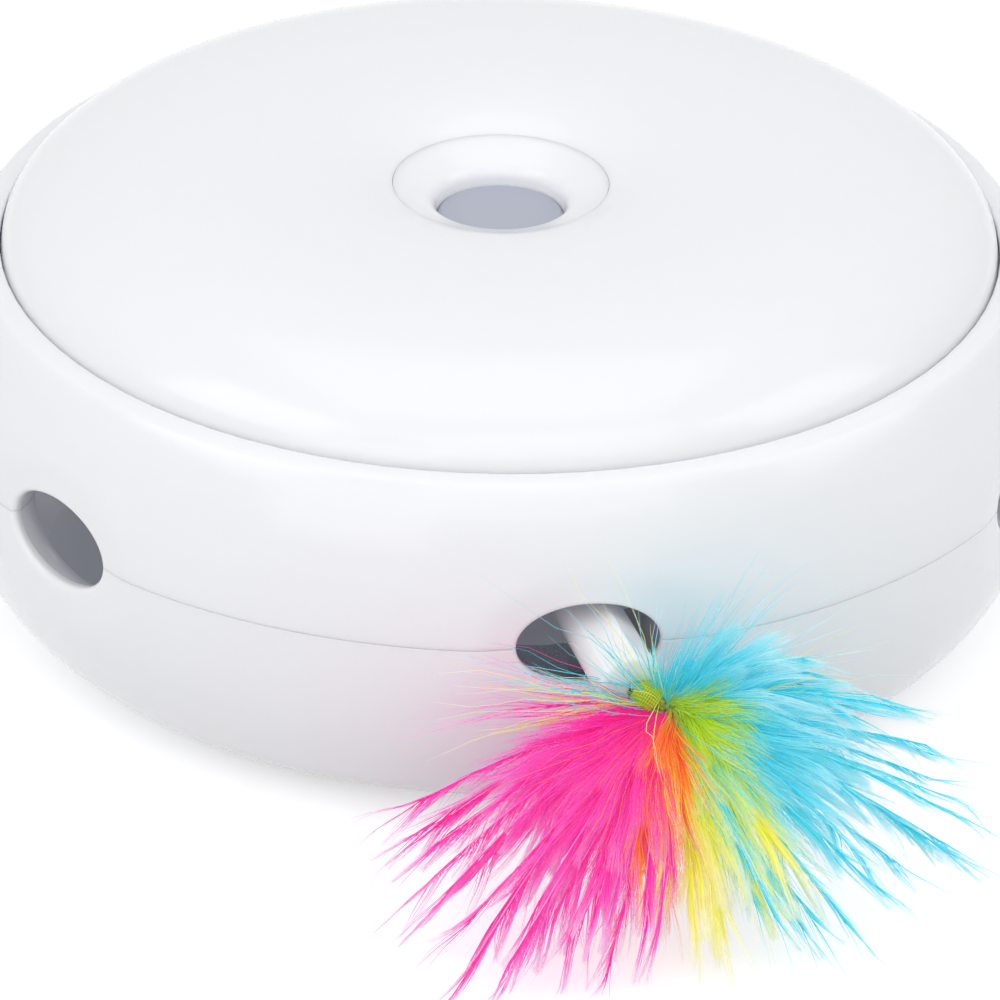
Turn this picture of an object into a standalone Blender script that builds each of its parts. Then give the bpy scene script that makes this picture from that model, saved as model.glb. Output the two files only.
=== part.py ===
"""Interactive feather cat toy: a round gloss puck with six oval holes, a crank that pushes a
feather wand out of one hole after another, a centre button and a battery bay underneath.

Metres, +Z up. The part stands on z = 0 with its centre axis on Z, and the hole that the
feather looks out of faces -Y. Azimuths are counted from -Y towards +X.
"""
import math

import bmesh
import bpy
from mathutils import Matrix, Vector

# Fits
CLEARANCE = 0.0003
OVERRUN = 0.0010
MERGE_DISTANCE = 0.00001

# Casing: its side goes round the battery bay, which its flat bottom just clears
BAY_CLEARANCE = 0.0003
LOWER_CORNER_WIDTH = 0.0230
UPPER_CORNER_WIDTH = 0.0170
UPPER_CORNER_HEIGHT = 0.0310
SHELL_WALL = 0.0022
RIM_WIDTH = 0.0035
RIM_HEIGHT = 0.0014
RIM_ROUND_HEIGHT = 0.0007
RIM_ROUND_WIDTH = 0.0012
LEDGE_DEPTH = 0.0022
LEDGE_LIP_WIDTH = 0.0008
LATCH_HALF_WIDTH = 0.0060
LATCH_WALL = 0.0012
LATCH_DEPTH = 0.0040
LATCH_ROOT_HEIGHT = 0.0050
LATCH_GAP = 0.0011

# Top cover
COVER_BORDER_WIDTH = 0.0105
COVER_EDGE_DEPTH = 0.0004
COVER_HEIGHT = 0.0145
COVER_CORNER_WIDTH = 0.0365
FUNNEL_DEPTH = 0.0065
FUNNEL_POWER = 3
COVER_BOSS_RADIUS = 0.0027
COVER_BOSS_BORDER_WIDTH = 0.0110

# Feather holes
HOLE_COUNT = 6
HOLE_HALF_WIDTH = 0.0111
HOLE_HALF_HEIGHT = 0.0069
HOLE_FACE_DEPTH = 0.0010
HOLE_FLARE_RADIUS = 0.0080
HOLE_CHAMFER_WIDTH = 0.0012
HOOD_DEPTH = 0.0070
HOOD_WALL = 0.0014

# Feet
FOOT_HEIGHT = 0.0015
FOOT_RADIUS = 0.0065
FOOT_RECESS_DEPTH = 0.0008
FOOT_BORDER_WIDTH = 0.0120

# Button, bezel and control board, from the well round the button downwards
BEZEL_RADIUS = 0.0170
BEZEL_LIP_RADIUS = 0.0116
BEZEL_LIP_WIDTH = 0.0015
BEZEL_CONE_DEPTH = 0.0024
BEZEL_BORE_DEPTH = 0.0027
BEZEL_FLANGE_WIDTH = 0.0030
BEZEL_FLANGE_THICKNESS = 0.0014
BEZEL_SKIRT_WALL = 0.0016
BUTTON_DEPTH = 0.0001
BUTTON_DISH_DEPTH = 0.0003
BUTTON_FLANGE_WIDTH = 0.0019
BUTTON_FLANGE_THICKNESS = 0.0014
BUTTON_STEM_RADIUS = 0.0022
BUTTON_STEM_LENGTH = 0.0009
PLUNGER_RADIUS = 0.0017
PLUNGER_HEIGHT = 0.0009
PLUNGER_LENGTH = 0.0022
SWITCH_WIDTH = 0.0062
SWITCH_HEIGHT = 0.0031
SWITCH_BORE_DEPTH = 0.0021
BOARD_THICKNESS = 0.0016
BOARD_BORDER_WIDTH = 0.0040
BOARD_BOSS_GAP = 0.0014
BOARD_BOSS_RADIUS = 0.0026
LED_RADIUS = 0.0015
LED_HEIGHT = 0.0037
LED_OFFSET = 0.0075

# Screws
SCREW_RADIUS = 0.0013
SCREW_HEAD_RADIUS = 0.0027
SCREW_HEAD_HEIGHT = 0.0015
SCREW_LENGTH = 0.0060
SCREW_HOLE_LENGTH = 0.0090
SCREW_CROWN_SHARE = 0.8
DIAGONAL_AZIMUTHS = (45, 135, 225, 315)
BOARD_SCREW_AZIMUTHS = (60, 180, 300)

# Battery bay
CELL_RADIUS = 0.00725
CELL_LENGTH = 0.0492
CELL_NUB_RADIUS = 0.0027
CELL_NUB_LENGTH = 0.0013
CELL_COUNT = 3
TRAY_OFFSET = 0.0115
TRAY_WALL = 0.0012
DOOR_THICKNESS = 0.0020
DOOR_BORDER_WIDTH = 0.0010
DOOR_EAR_RADIUS = 0.0050
DOOR_BOSS_RADIUS = 0.0069
DOOR_BOSS_HEIGHT = 0.0072
CONTACT_THICKNESS = 0.0005
CONTACT_WIDTH = 0.0100
CONTACT_SPRING_LENGTH = 0.0054
CONTACT_SPRING_RADIUS = 0.0034
CONTACT_WIRE_RADIUS = 0.00035
CONTACT_SPRING_TURNS = 3

# Drive train, from the battery tray upwards
PLATE_GAP = 0.0015
PLATE_THICKNESS = 0.0020
PLATE_OFFSET = 0.0080
PLATE_BORDER_WIDTH = 0.0010
PLATE_BOSS_RADIUS = 0.0032
PLATE_BOSS_BORDER_WIDTH = 0.0060
PLATE_BOSS_AZIMUTHS = (90, -90, 32.7, -32.7)
AXLE_RADIUS = 0.0020
AXLE_HEAD_RADIUS = 0.0036
AXLE_HEAD_HEIGHT = 0.0015
AXLE_FOOT_LENGTH = 0.0030
COARSE_MODULE = 0.0008
FINE_MODULE = 0.0006
CRANK_TEETH = 48
IDLER_PINION_TEETH = 12
IDLER_WHEEL_TEETH = 40
MOTOR_PINION_TEETH = 10
GEAR_BACKLASH_WIDTH = 0.00035
PRESSURE_ANGLE = 20
GEAR_GAP = 0.00012
TIP_SHARE = 0.85
ROOT_SHARE = 1.15
IDLER_AZIMUTH = 18.26
IDLER_WHEEL_GAP = 0.0005
IDLER_WHEEL_THICKNESS = 0.0020
IDLER_PIN_RADIUS = 0.0010
CRANK_HUB_RADIUS = 0.0050
CRANK_GEAR_GAP = 0.0006
CRANK_GEAR_THICKNESS = 0.0028
CRANK_FLANGE_BORDER_WIDTH = 0.0006
CRANK_FLANGE_THICKNESS = 0.0016
MOTOR_RADIUS = 0.0122
MOTOR_LENGTH = 0.0120
MOTOR_SHAFT_RADIUS = 0.0010
MOTOR_SHAFT_DEPTH = 0.0024
MOTOR_COLLAR_WALL = 0.0015
MOTOR_COLLAR_DEPTH = 0.0050
MOTOR_POST_RADIUS = 0.0040

# Wand
CRANK_PIN_OFFSET = 0.0180
CRANK_REST_AZIMUTH = -16
WAND_REST_AZIMUTH = 6.2
CRANK_PIN_RADIUS = 0.0030
WAND_GAP = 0.0025
WAND_HUB_RADIUS = 0.0065
WAND_HUB_HEIGHT = 0.0041
WAND_ARM_HALF_WIDTH = 0.0038
WAND_ARM_HALF_HEIGHT = 0.0036
WAND_SPIGOT_RADIUS = 0.0025
WAND_SPIGOT_LENGTH = 0.0150
WAND_TIP_LENGTH = 0.0101
HOLDER_RADIUS = 0.0050
HOLDER_ROOT_RADIUS = 0.0044
HOLDER_TIP_RADIUS = 0.0040
HOLDER_TIP_LENGTH = 0.0030
HOLDER_LENGTH = 0.0265
BINDING_RADIUS = 0.0026
BINDING_LENGTH = 0.0022

# Feather plumes: the way each points, across to the right, ahead and up, its length, and its
# half widths and half depths at the stations along it
PLUME_LENGTH = 0.0540
PLUME_ROOT_GAP = 0.0009
PLUME_ROOT_RADIUS = 0.0015
PLUME_STATION_SHARES = (0.00, 0.18, 0.40, 0.66, 0.88, 1.00)
PINK_WAY_SHARES = (-0.62, 0.42, -0.66)
ORANGE_WAY_SHARES = (0.04, 0.50, -0.86)
YELLOW_WAY_SHARES = (0.40, 0.44, -0.78)
AQUA_WAY_SHARES = (0.92, 0.25, -0.30)
PINK_LENGTH_SHARE = 0.78
NARROW_LENGTH_SHARE = 0.68
PINK_WIDTH_SHARES = (0.008, 0.070, 0.160, 0.265, 0.240, 0.100)
PINK_DEPTH_SHARES = (0.008, 0.050, 0.090, 0.110, 0.090, 0.040)
NARROW_WIDTH_SHARES = (0.004, 0.018, 0.044, 0.074, 0.085, 0.040)
NARROW_DEPTH_SHARES = (0.004, 0.040, 0.080, 0.110, 0.100, 0.040)
AQUA_WIDTH_SHARES = (0.008, 0.100, 0.220, 0.330, 0.220, 0.040)
AQUA_DEPTH_SHARES = (0.008, 0.055, 0.100, 0.120, 0.080, 0.020)

# Leads: from the battery tray and the motor to the casing's side, as (x, y, height), then up
# it between two holes, as the depth in from the side and the height
BATTERY_LEAD_OFFSET = 0.0460
BATTERY_LEAD_TURN = (0.0360, 0.0540, 0.0130)
BATTERY_LEAD_AZIMUTH = 150
MOTOR_LEAD_TURN = (-0.0170, -0.0470, 0.0120)
MOTOR_LEAD_AZIMUTH = -30
LEAD_EXIT_HEIGHT = 0.0130
LEAD_RADIUS = 0.0008
LEAD_POINT_SPACING = 0.0048
LEAD_BEND_LENGTH = 0.0022
LEAD_WALL_ROUTE = ((0.0200, 0.0125), (0.0120, 0.0190), (0.0068, 0.0300), (0.0060, 0.0400),
                   (0.0075, 0.0490), (0.0140, 0.0535), (0.0290, 0.0535), (0.0590, 0.0530),
                   (0.0720, 0.0530))

# Worked out: the battery bay
FLOOR_TOP = FOOT_HEIGHT + SHELL_WALL
CELL_PITCH = 2 * CELL_RADIUS + CLEARANCE
TRAY_INNER_START = TRAY_OFFSET + TRAY_WALL
TRAY_INNER_END = TRAY_INNER_START + CELL_COUNT * CELL_PITCH + CLEARANCE
TRAY_END = TRAY_INNER_END + TRAY_WALL
TRAY_INNER_HALF_LENGTH = (CELL_LENGTH + CELL_NUB_LENGTH + CONTACT_SPRING_LENGTH
                          + CONTACT_THICKNESS) / 2 + CLEARANCE
TRAY_HALF_LENGTH = TRAY_INNER_HALF_LENGTH + TRAY_WALL
CELL_HEIGHT = FLOOR_TOP + CLEARANCE + CELL_RADIUS
TRAY_TOP = CELL_HEIGHT + CELL_RADIUS + CLEARANCE + TRAY_WALL
DOOR_TOP = FOOT_HEIGHT + DOOR_THICKNESS
DOOR_HALF_LENGTH = TRAY_INNER_HALF_LENGTH - DOOR_BORDER_WIDTH

# Worked out: the drive train and the wand's height, where the casing parts
PLATE_BOTTOM = TRAY_TOP + PLATE_GAP
PLATE_TOP = PLATE_BOTTOM + PLATE_THICKNESS
IDLER_WHEEL_BOTTOM = PLATE_TOP + IDLER_WHEEL_GAP
IDLER_WHEEL_TOP = IDLER_WHEEL_BOTTOM + IDLER_WHEEL_THICKNESS
CRANK_GEAR_BOTTOM = IDLER_WHEEL_TOP + CRANK_GEAR_GAP
CRANK_GEAR_TOP = CRANK_GEAR_BOTTOM + CRANK_GEAR_THICKNESS
CRANK_FLANGE_TOP = CRANK_GEAR_TOP + CRANK_FLANGE_THICKNESS
IDLER_TOP = CRANK_GEAR_TOP - CLEARANCE
MID_HEIGHT = CRANK_FLANGE_TOP + WAND_GAP + WAND_ARM_HALF_HEIGHT
HUB_BOTTOM = CRANK_FLANGE_TOP + CLEARANCE
HUB_TOP = MID_HEIGHT + WAND_HUB_HEIGHT
IDLER_DISTANCE = (CRANK_TEETH + IDLER_PINION_TEETH) * COARSE_MODULE / 2 + GEAR_GAP
MOTOR_DISTANCE = (IDLER_WHEEL_TEETH + MOTOR_PINION_TEETH) * FINE_MODULE / 2 + GEAR_GAP
IDLER_ACROSS = IDLER_DISTANCE * math.sin(math.radians(IDLER_AZIMUTH))
IDLER_AHEAD = IDLER_DISTANCE * math.cos(math.radians(IDLER_AZIMUTH))
MOTOR_AHEAD = IDLER_AHEAD + math.sqrt(MOTOR_DISTANCE ** 2 - IDLER_ACROSS ** 2)
IDLER_PLACE = (IDLER_ACROSS, -IDLER_AHEAD)
MOTOR_BORE_RADIUS = MOTOR_RADIUS + CLEARANCE
MOTOR_TOP = PLATE_BOTTOM - CLEARANCE
MOTOR_BOTTOM = MOTOR_TOP - MOTOR_LENGTH
PLATE_RADIUS = (MOTOR_AHEAD + MOTOR_BORE_RADIUS + MOTOR_COLLAR_WALL + PLATE_BORDER_WIDTH
                - PLATE_OFFSET)
CRANK_FLANGE_RADIUS = CRANK_PIN_OFFSET + CRANK_PIN_RADIUS + CRANK_FLANGE_BORDER_WIDTH

# Worked out: the casing
FLAT_RADIUS = math.hypot(TRAY_HALF_LENGTH, TRAY_END) + BAY_CLEARANCE
BODY_RADIUS = FLAT_RADIUS + LOWER_CORNER_WIDTH
LOWER_DEPTH = MID_HEIGHT - FOOT_HEIGHT
UPPER_CORNER_RADIUS = BODY_RADIUS - UPPER_CORNER_WIDTH
COVER_RADIUS = BODY_RADIUS - COVER_BORDER_WIDTH
CROWN_RADIUS = COVER_RADIUS - COVER_CORNER_WIDTH
RIM_BORE_RADIUS = COVER_RADIUS + CLEARANCE
RIM_SHARE = (RIM_BORE_RADIUS + RIM_WIDTH - UPPER_CORNER_RADIUS) / UPPER_CORNER_WIDTH
SHOULDER_HEIGHT = UPPER_CORNER_HEIGHT * math.sqrt(1 - RIM_SHARE ** 2)
RIM_TOP_HEIGHT = SHOULDER_HEIGHT + RIM_HEIGHT
RIM_EDGE_HEIGHT = RIM_TOP_HEIGHT - RIM_ROUND_HEIGHT
LEDGE_HEIGHT = SHOULDER_HEIGHT - LEDGE_DEPTH
LEDGE_BOTTOM = LEDGE_HEIGHT - SHELL_WALL
COVER_BOSS_RING = COVER_RADIUS - COVER_BOSS_BORDER_WIDTH
LEDGE_INNER_RADIUS = COVER_BOSS_RING - COVER_BOSS_RADIUS - LEDGE_LIP_WIDTH
COVER_EDGE_HEIGHT = SHOULDER_HEIGHT - COVER_EDGE_DEPTH
CROWN_HEIGHT = COVER_EDGE_HEIGHT + COVER_HEIGHT
HOLE_FACE_RADIUS = BODY_RADIUS - HOLE_FACE_DEPTH
HOLE_PITCH = 360 / HOLE_COUNT
BETWEEN_HOLES = HOLE_PITCH / 2
FOOT_RING = FLAT_RADIUS - FOOT_BORDER_WIDTH
WAND_TIP_REACH = ((BODY_RADIUS + WAND_TIP_LENGTH
                   - CRANK_PIN_OFFSET * math.cos(math.radians(CRANK_REST_AZIMUTH)))
                  / math.cos(math.radians(WAND_REST_AZIMUTH)))
WAND_ARM_REACH = WAND_TIP_REACH - BINDING_LENGTH - HOLDER_LENGTH - 2 * CLEARANCE

# Worked out: the button and the board, as heights above the casing's parting line
WELL_HEIGHT = CROWN_HEIGHT - FUNNEL_DEPTH
BEZEL_BORE_RADIUS = BEZEL_LIP_RADIUS - BEZEL_LIP_WIDTH
BEZEL_FLANGE_RADIUS = BEZEL_RADIUS + BEZEL_FLANGE_WIDTH
BEZEL_BORE_TOP = WELL_HEIGHT - BEZEL_CONE_DEPTH
BEZEL_BOTTOM = BEZEL_BORE_TOP - BEZEL_BORE_DEPTH
BUTTON_TOP = BEZEL_BORE_TOP - BUTTON_DEPTH
BUTTON_FLANGE_TOP = BEZEL_BOTTOM - CLEARANCE
BUTTON_STEM_BOTTOM = BUTTON_FLANGE_TOP - BUTTON_FLANGE_THICKNESS - BUTTON_STEM_LENGTH
PLUNGER_TOP = BUTTON_STEM_BOTTOM - CLEARANCE
SWITCH_TOP = PLUNGER_TOP - PLUNGER_HEIGHT
BOARD_TOP = SWITCH_TOP - SWITCH_HEIGHT - CLEARANCE
BOARD_HEIGHT = MID_HEIGHT + BOARD_TOP
BOARD_BOSS_RING = BEZEL_FLANGE_RADIUS + BOARD_BOSS_GAP + BOARD_BOSS_RADIUS
BOARD_RADIUS = BOARD_BOSS_RING + BOARD_BORDER_WIDTH

# Mesh fineness
BODY_STEPS = 60
DISC_STEPS = 36
ROUND_STEPS = 20
SMALL_STEPS = 14
TINY_STEPS = 8
PLUME_STEPS = 12
CORNER_POINTS = 6
INNER_POINTS = 4
HOLE_STEPS = 24
SHARP_ANGLE = math.radians(38)


def polar(radius, azimuth, height=0):
    """A point at an azimuth in degrees, counted from -Y towards +X."""
    angle = math.radians(azimuth)
    return Vector((radius * math.sin(angle), -radius * math.cos(angle), height))


def linear(channel):
    """One sRGB channel, 0 to 1, as the linear value that Blender's colours hold."""
    return channel / 12.92 if channel <= 0.04045 else ((channel + 0.055) / 1.055) ** 2.4


def material(name, colour, roughness, metallic=0.0):
    """A Principled material from a hex colour, made once and shared by name."""
    found = bpy.data.materials.get(name)
    if found:
        return found
    made = bpy.data.materials.new(name)
    made.use_nodes = True
    shader = made.node_tree.nodes["Principled BSDF"]
    rgb = [linear(int(colour[place:place + 2], 16) / 255) for place in (0, 2, 4)]
    shader.inputs["Base Color"].default_value = (*rgb, 1)
    shader.inputs["Roughness"].default_value = roughness
    shader.inputs["Metallic"].default_value = metallic
    made.diffuse_color = (*rgb, 1)
    return made


def add_object(name, mesh_data, paint=None, place=(0, 0, 0)):
    """Turns a bmesh into a named, smooth-shaded object with outward faces."""
    bmesh.ops.recalc_face_normals(mesh_data, faces=mesh_data.faces)
    mesh = bpy.data.meshes.new(name)
    mesh_data.to_mesh(mesh)
    mesh_data.free()
    mesh.shade_smooth()
    mesh.set_sharp_from_angle(angle=SHARP_ANGLE)
    made = bpy.data.objects.new(name, mesh)
    made.location = place
    if paint:
        mesh.materials.append(paint)
    bpy.context.collection.objects.link(made)
    return made


def add_cutter(name, mesh_data):
    """A guide solid that only shapes other pieces."""
    made = add_object(name, mesh_data)
    made.hide_render = True
    made.display_type = "WIRE"
    return made


def shape_with(target, cutter, operation):
    """Leaves a Boolean modifier on the target."""
    step = target.modifiers.new(f"{operation.lower()} {cutter.name}", "BOOLEAN")
    step.operation = operation
    step.object = cutter


def turn(outline, steps, ring=False, centre=(0, 0, 0)):
    """Spins an outline of (radius, height) points round Z: a ring's outline is closed."""
    made = bmesh.new()
    points = [made.verts.new((radius, 0, height)) for radius, height in outline]
    edges = [made.edges.new(pair) for pair in zip(points, points[1:])]
    if ring:
        edges.append(made.edges.new((points[-1], points[0])))
    bmesh.ops.spin(made, geom=points + edges, cent=(0, 0, 0), axis=(0, 0, 1),
                   angle=math.tau, steps=steps, use_merge=True)
    bmesh.ops.remove_doubles(made, verts=made.verts, dist=MERGE_DISTANCE)
    on_axis = [vert for vert in made.verts if Vector(vert.co.xy).length < MERGE_DISTANCE]
    bmesh.ops.dissolve_verts(made, verts=on_axis)
    bmesh.ops.translate(made, verts=made.verts, vec=centre)
    return made


def rod_outline(radius, low, high):
    return [(0, low), (radius, low), (radius, high), (0, high)]


def rod(radius, low, high, steps=SMALL_STEPS, centre=(0, 0)):
    """An upright cylinder."""
    return turn(rod_outline(radius, low, high), steps, centre=(*centre, 0))


def prism(points, low, high):
    """An outline of (x, y) points, raised from one height to another."""
    made = bmesh.new()
    base = made.faces.new([made.verts.new((across, along, low)) for across, along in points])
    raised = bmesh.ops.extrude_face_region(made, geom=[base])["geom"]
    moved = [item for item in raised if isinstance(item, bmesh.types.BMVert)]
    bmesh.ops.translate(made, verts=moved, vec=(0, 0, high - low))
    return made


def block(low, high):
    """A box between two corners."""
    return prism([(low[0], low[1]), (high[0], low[1]), (high[0], high[1]), (low[0], high[1])],
                 low[2], high[2])


def joined(parts):
    """Several bmeshes as one."""
    whole = bmesh.new()
    for part in parts:
        mesh = bpy.data.meshes.new("piece")
        bmesh.ops.recalc_face_normals(part, faces=part.faces)
        part.to_mesh(mesh)
        part.free()
        whole.from_mesh(mesh)
        bpy.data.meshes.remove(mesh)
    return whole


def loft(rings):
    """A closed solid through rings of points, all with the same count."""
    made = bmesh.new()
    rows = [[made.verts.new(point) for point in ring] for ring in rings]
    count = len(rings[0])
    for row, following in zip(rows, rows[1:]):
        for place in range(count):
            after = (place + 1) % count
            made.faces.new((row[place], row[after], following[after], following[place]))
    made.faces.new(rows[0])
    made.faces.new(rows[-1])
    return made


def lower_profile(wall, count=CORNER_POINTS):
    """The lower shell's side, from the parting line down to the flat bottom."""
    points = []
    for step in range(count + 1):
        angle = math.pi / 2 * step / count
        radius = FLAT_RADIUS + (LOWER_CORNER_WIDTH - wall) * math.cos(angle)
        points.append((radius, MID_HEIGHT - (LOWER_DEPTH - wall) * math.sin(angle)))
    return points


def upper_profile(wall, top, count=CORNER_POINTS):
    """The upper shell's side, from the parting line up to a height above it."""
    rise = UPPER_CORNER_HEIGHT - wall
    last = math.asin(top / rise)
    points = []
    for step in range(count + 1):
        angle = last * step / count
        radius = UPPER_CORNER_RADIUS + (UPPER_CORNER_WIDTH - wall) * math.cos(angle)
        points.append((radius, MID_HEIGHT + rise * math.sin(angle)))
    return points


def funnel_height(radius):
    """The top cover's height between its crown and the button."""
    share = (radius - BEZEL_LIP_RADIUS) / (CROWN_RADIUS - BEZEL_LIP_RADIUS)
    return MID_HEIGHT + CROWN_HEIGHT - FUNNEL_DEPTH * (1 - share) ** FUNNEL_POWER


def hole_ring(depth, azimuth, wall=0.0, half=0):
    """An oval round a hole's line, a depth behind its face: whole, or its half above (1) or
    below (-1) the parting line."""
    spread = max(0, depth) ** 2 / (2 * HOLE_FLARE_RADIUS) + wall
    if depth < 0:
        spread = -depth * HOLE_CHAMFER_WIDTH / (BODY_RADIUS + OVERRUN - HOLE_FACE_RADIUS) + wall
    turned = Matrix.Rotation(math.radians(azimuth), 3, "Z")
    count = HOLE_STEPS // 2 + 1 if half else HOLE_STEPS
    ring = []
    for step in range(count):
        angle = math.tau * step / HOLE_STEPS
        across = (HOLE_HALF_WIDTH + spread) * math.cos(angle)
        rise = (HOLE_HALF_HEIGHT + spread) * math.sin(angle)
        if half:
            rise = half * (CLEARANCE / 2 + rise)
        ring.append(turned @ Vector((across, depth - HOLE_FACE_RADIUS, MID_HEIGHT + rise)))
    return ring


def hole_loft(depths, azimuth, wall=0.0, half=0):
    return loft([hole_ring(depth, azimuth, wall, half) for depth in depths])


def hole_azimuths():
    return [HOLE_PITCH * number for number in range(HOLE_COUNT)]


def make_hole_cutter():
    """Six flared ovals that run from outside the casing to behind the hoods."""
    outside = HOLE_FACE_RADIUS - BODY_RADIUS - OVERRUN
    depths = (outside, 0, HOOD_DEPTH / 2, HOOD_DEPTH + OVERRUN)
    return add_cutter("hole_cutter", joined([hole_loft(depths, azimuth)
                                             for azimuth in hole_azimuths()]))


def make_hoods(name, half):
    """Half of each hole's guide hood, as solid pads that the hole cutter then opens."""
    depths = (0, HOOD_DEPTH / 2, HOOD_DEPTH)
    pads = [hole_loft(depths, azimuth, HOOD_WALL, half) for azimuth in hole_azimuths()]
    return add_cutter(name, joined(pads))


def make_lower_shell(white, hole_cutter):
    """The bowl that carries the battery bay, the drive plate and the feet."""
    outer = lower_profile(0)
    inner = lower_profile(SHELL_WALL, INNER_POINTS)
    outer[0] = (BODY_RADIUS, MID_HEIGHT - CLEARANCE / 2)
    inner[0] = (inner[0][0], outer[0][1])
    outline = [(0, FOOT_HEIGHT)] + outer[::-1] + inner + [(0, FLOOR_TOP)]
    shell = add_object("lower_shell", turn(outline, BODY_STEPS), white)

    seat = FLOOR_TOP - SHELL_WALL / 2
    boss_top = PLATE_BOTTOM - CLEARANCE
    bosses = [rod(PLATE_BOSS_RADIUS, seat, boss_top, centre=place) for place in plate_boss_places()]
    bosses.append(rod(MOTOR_POST_RADIUS, seat, MOTOR_BOTTOM - CLEARANCE,
                      centre=(0, -MOTOR_AHEAD)))
    bosses.append(rod(DOOR_BOSS_RADIUS, seat, FLOOR_TOP + DOOR_BOSS_HEIGHT,
                      centre=door_screw_place()))
    shape_with(shell, add_cutter("lower_bosses", joined(bosses)), "UNION")
    shape_with(shell, make_hoods("lower_hoods", -1), "UNION")

    shape_with(shell, hole_cutter, "DIFFERENCE")

    below = FOOT_HEIGHT - OVERRUN
    screw_bore = SCREW_RADIUS + CLEARANCE
    screw_depth = boss_top - SCREW_LENGTH - CLEARANCE
    cuts = [rod(screw_bore, screw_depth, boss_top + OVERRUN, TINY_STEPS, place)
            for place in plate_boss_places()]
    cuts += [rod(FOOT_RADIUS + CLEARANCE, below, FOOT_HEIGHT + FOOT_RECESS_DEPTH, ROUND_STEPS, place)
             for place in foot_places()]
    cuts.append(prism(door_outline(CLEARANCE), below, FLOOR_TOP + CLEARANCE))
    shape_with(shell, add_cutter("lower_cuts", joined(cuts)), "DIFFERENCE")
    screw_hole = rod(screw_bore, FLOOR_TOP, DOOR_TOP - SCREW_HEAD_HEIGHT + SCREW_HOLE_LENGTH,
                     TINY_STEPS, door_screw_place())
    shape_with(shell, add_cutter("door_screw_hole", screw_hole), "DIFFERENCE")
    return shell


def make_upper_shell(white, hole_cutter):
    """The side ring, with its rolled rim and the ledge that the top cover stands on."""
    side = upper_profile(0, SHOULDER_HEIGHT)
    side[0] = (BODY_RADIUS, MID_HEIGHT + CLEARANCE / 2)
    rim = [(side[-1][0] - RIM_ROUND_WIDTH, MID_HEIGHT + RIM_TOP_HEIGHT),
           (RIM_BORE_RADIUS + RIM_ROUND_WIDTH, MID_HEIGHT + RIM_TOP_HEIGHT),
           (RIM_BORE_RADIUS, MID_HEIGHT + RIM_EDGE_HEIGHT)]
    ledge = [(RIM_BORE_RADIUS, MID_HEIGHT + LEDGE_HEIGHT),
             (LEDGE_INNER_RADIUS, MID_HEIGHT + LEDGE_HEIGHT),
             (LEDGE_INNER_RADIUS, MID_HEIGHT + LEDGE_BOTTOM)]
    inner = upper_profile(SHELL_WALL, LEDGE_BOTTOM, INNER_POINTS)[::-1]
    inner[-1] = (inner[-1][0], side[0][1])
    outline = side + rim + ledge + inner
    shell = add_object("upper_shell", turn(outline, BODY_STEPS, ring=True), white)
    shape_with(shell, make_hoods("upper_hoods", 1), "UNION")
    shape_with(shell, hole_cutter, "DIFFERENCE")
    shape_with(shell, add_cutter("latches", joined(make_latches())), "UNION")
    holes = [rod(SCREW_RADIUS + CLEARANCE, MID_HEIGHT + LEDGE_BOTTOM - OVERRUN,
                 MID_HEIGHT + LEDGE_HEIGHT + OVERRUN, TINY_STEPS, place)
             for place in cover_screw_places()]
    shape_with(shell, add_cutter("ledge_holes", joined(holes)), "DIFFERENCE")
    return shell


def make_latches():
    """Tabs between the holes that reach down inside the lower shell's wall."""
    wall = BODY_RADIUS - SHELL_WALL
    inside = wall - LATCH_GAP - LATCH_WALL
    section = ((inside, -LATCH_DEPTH), (wall - LATCH_GAP, -LATCH_DEPTH),
               (wall - LATCH_GAP, CLEARANCE), (wall + SHELL_WALL / 4, CLEARANCE + OVERRUN),
               (wall + SHELL_WALL / 4, LATCH_ROOT_HEIGHT), (inside, LATCH_ROOT_HEIGHT))
    latches = []
    for azimuth in hole_azimuths():
        turned = Matrix.Rotation(math.radians(azimuth + BETWEEN_HOLES), 3, "Z")
        latches.append(loft([[turned @ Vector((across, -radius, MID_HEIGHT + height))
                              for radius, height in section]
                             for across in (-LATCH_HALF_WIDTH, LATCH_HALF_WIDTH)]))
    return latches


def cover_screw_places():
    return [polar(COVER_BOSS_RING, azimuth)[:2] for azimuth in DIAGONAL_AZIMUTHS]


def board_screw_places():
    return [polar(BOARD_BOSS_RING, azimuth)[:2] for azimuth in BOARD_SCREW_AZIMUTHS]


def plate_boss_places():
    ring = PLATE_RADIUS - PLATE_BOSS_BORDER_WIDTH
    middle = Vector((0, PLATE_OFFSET, 0))
    return [(polar(ring, azimuth) - middle)[:2] for azimuth in PLATE_BOSS_AZIMUTHS]


def foot_places():
    return [polar(FOOT_RING, azimuth)[:2] for azimuth in DIAGONAL_AZIMUTHS]


def door_screw_place():
    return (0, TRAY_OFFSET - CLEARANCE - DOOR_BOSS_RADIUS)


def cover_profile(wall, count):
    """The top cover's outside or, with its wall, its inside, from the edge to the bezel."""
    points = [(COVER_RADIUS - wall, MID_HEIGHT + LEDGE_HEIGHT + CLEARANCE)]
    for step in range(count + 1):
        angle = math.pi / 2 * step / count
        radius = CROWN_RADIUS + (COVER_RADIUS - CROWN_RADIUS - wall) * math.cos(angle)
        height = COVER_EDGE_HEIGHT + (COVER_HEIGHT - wall) * math.sin(angle)
        points.append((radius, MID_HEIGHT + height))
    bore = BEZEL_RADIUS + CLEARANCE
    for step in range(1, count):
        radius = CROWN_RADIUS + (bore - CROWN_RADIUS) * step / (count - 1)
        points.append((radius, funnel_height(radius) - wall))
    return points


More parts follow.
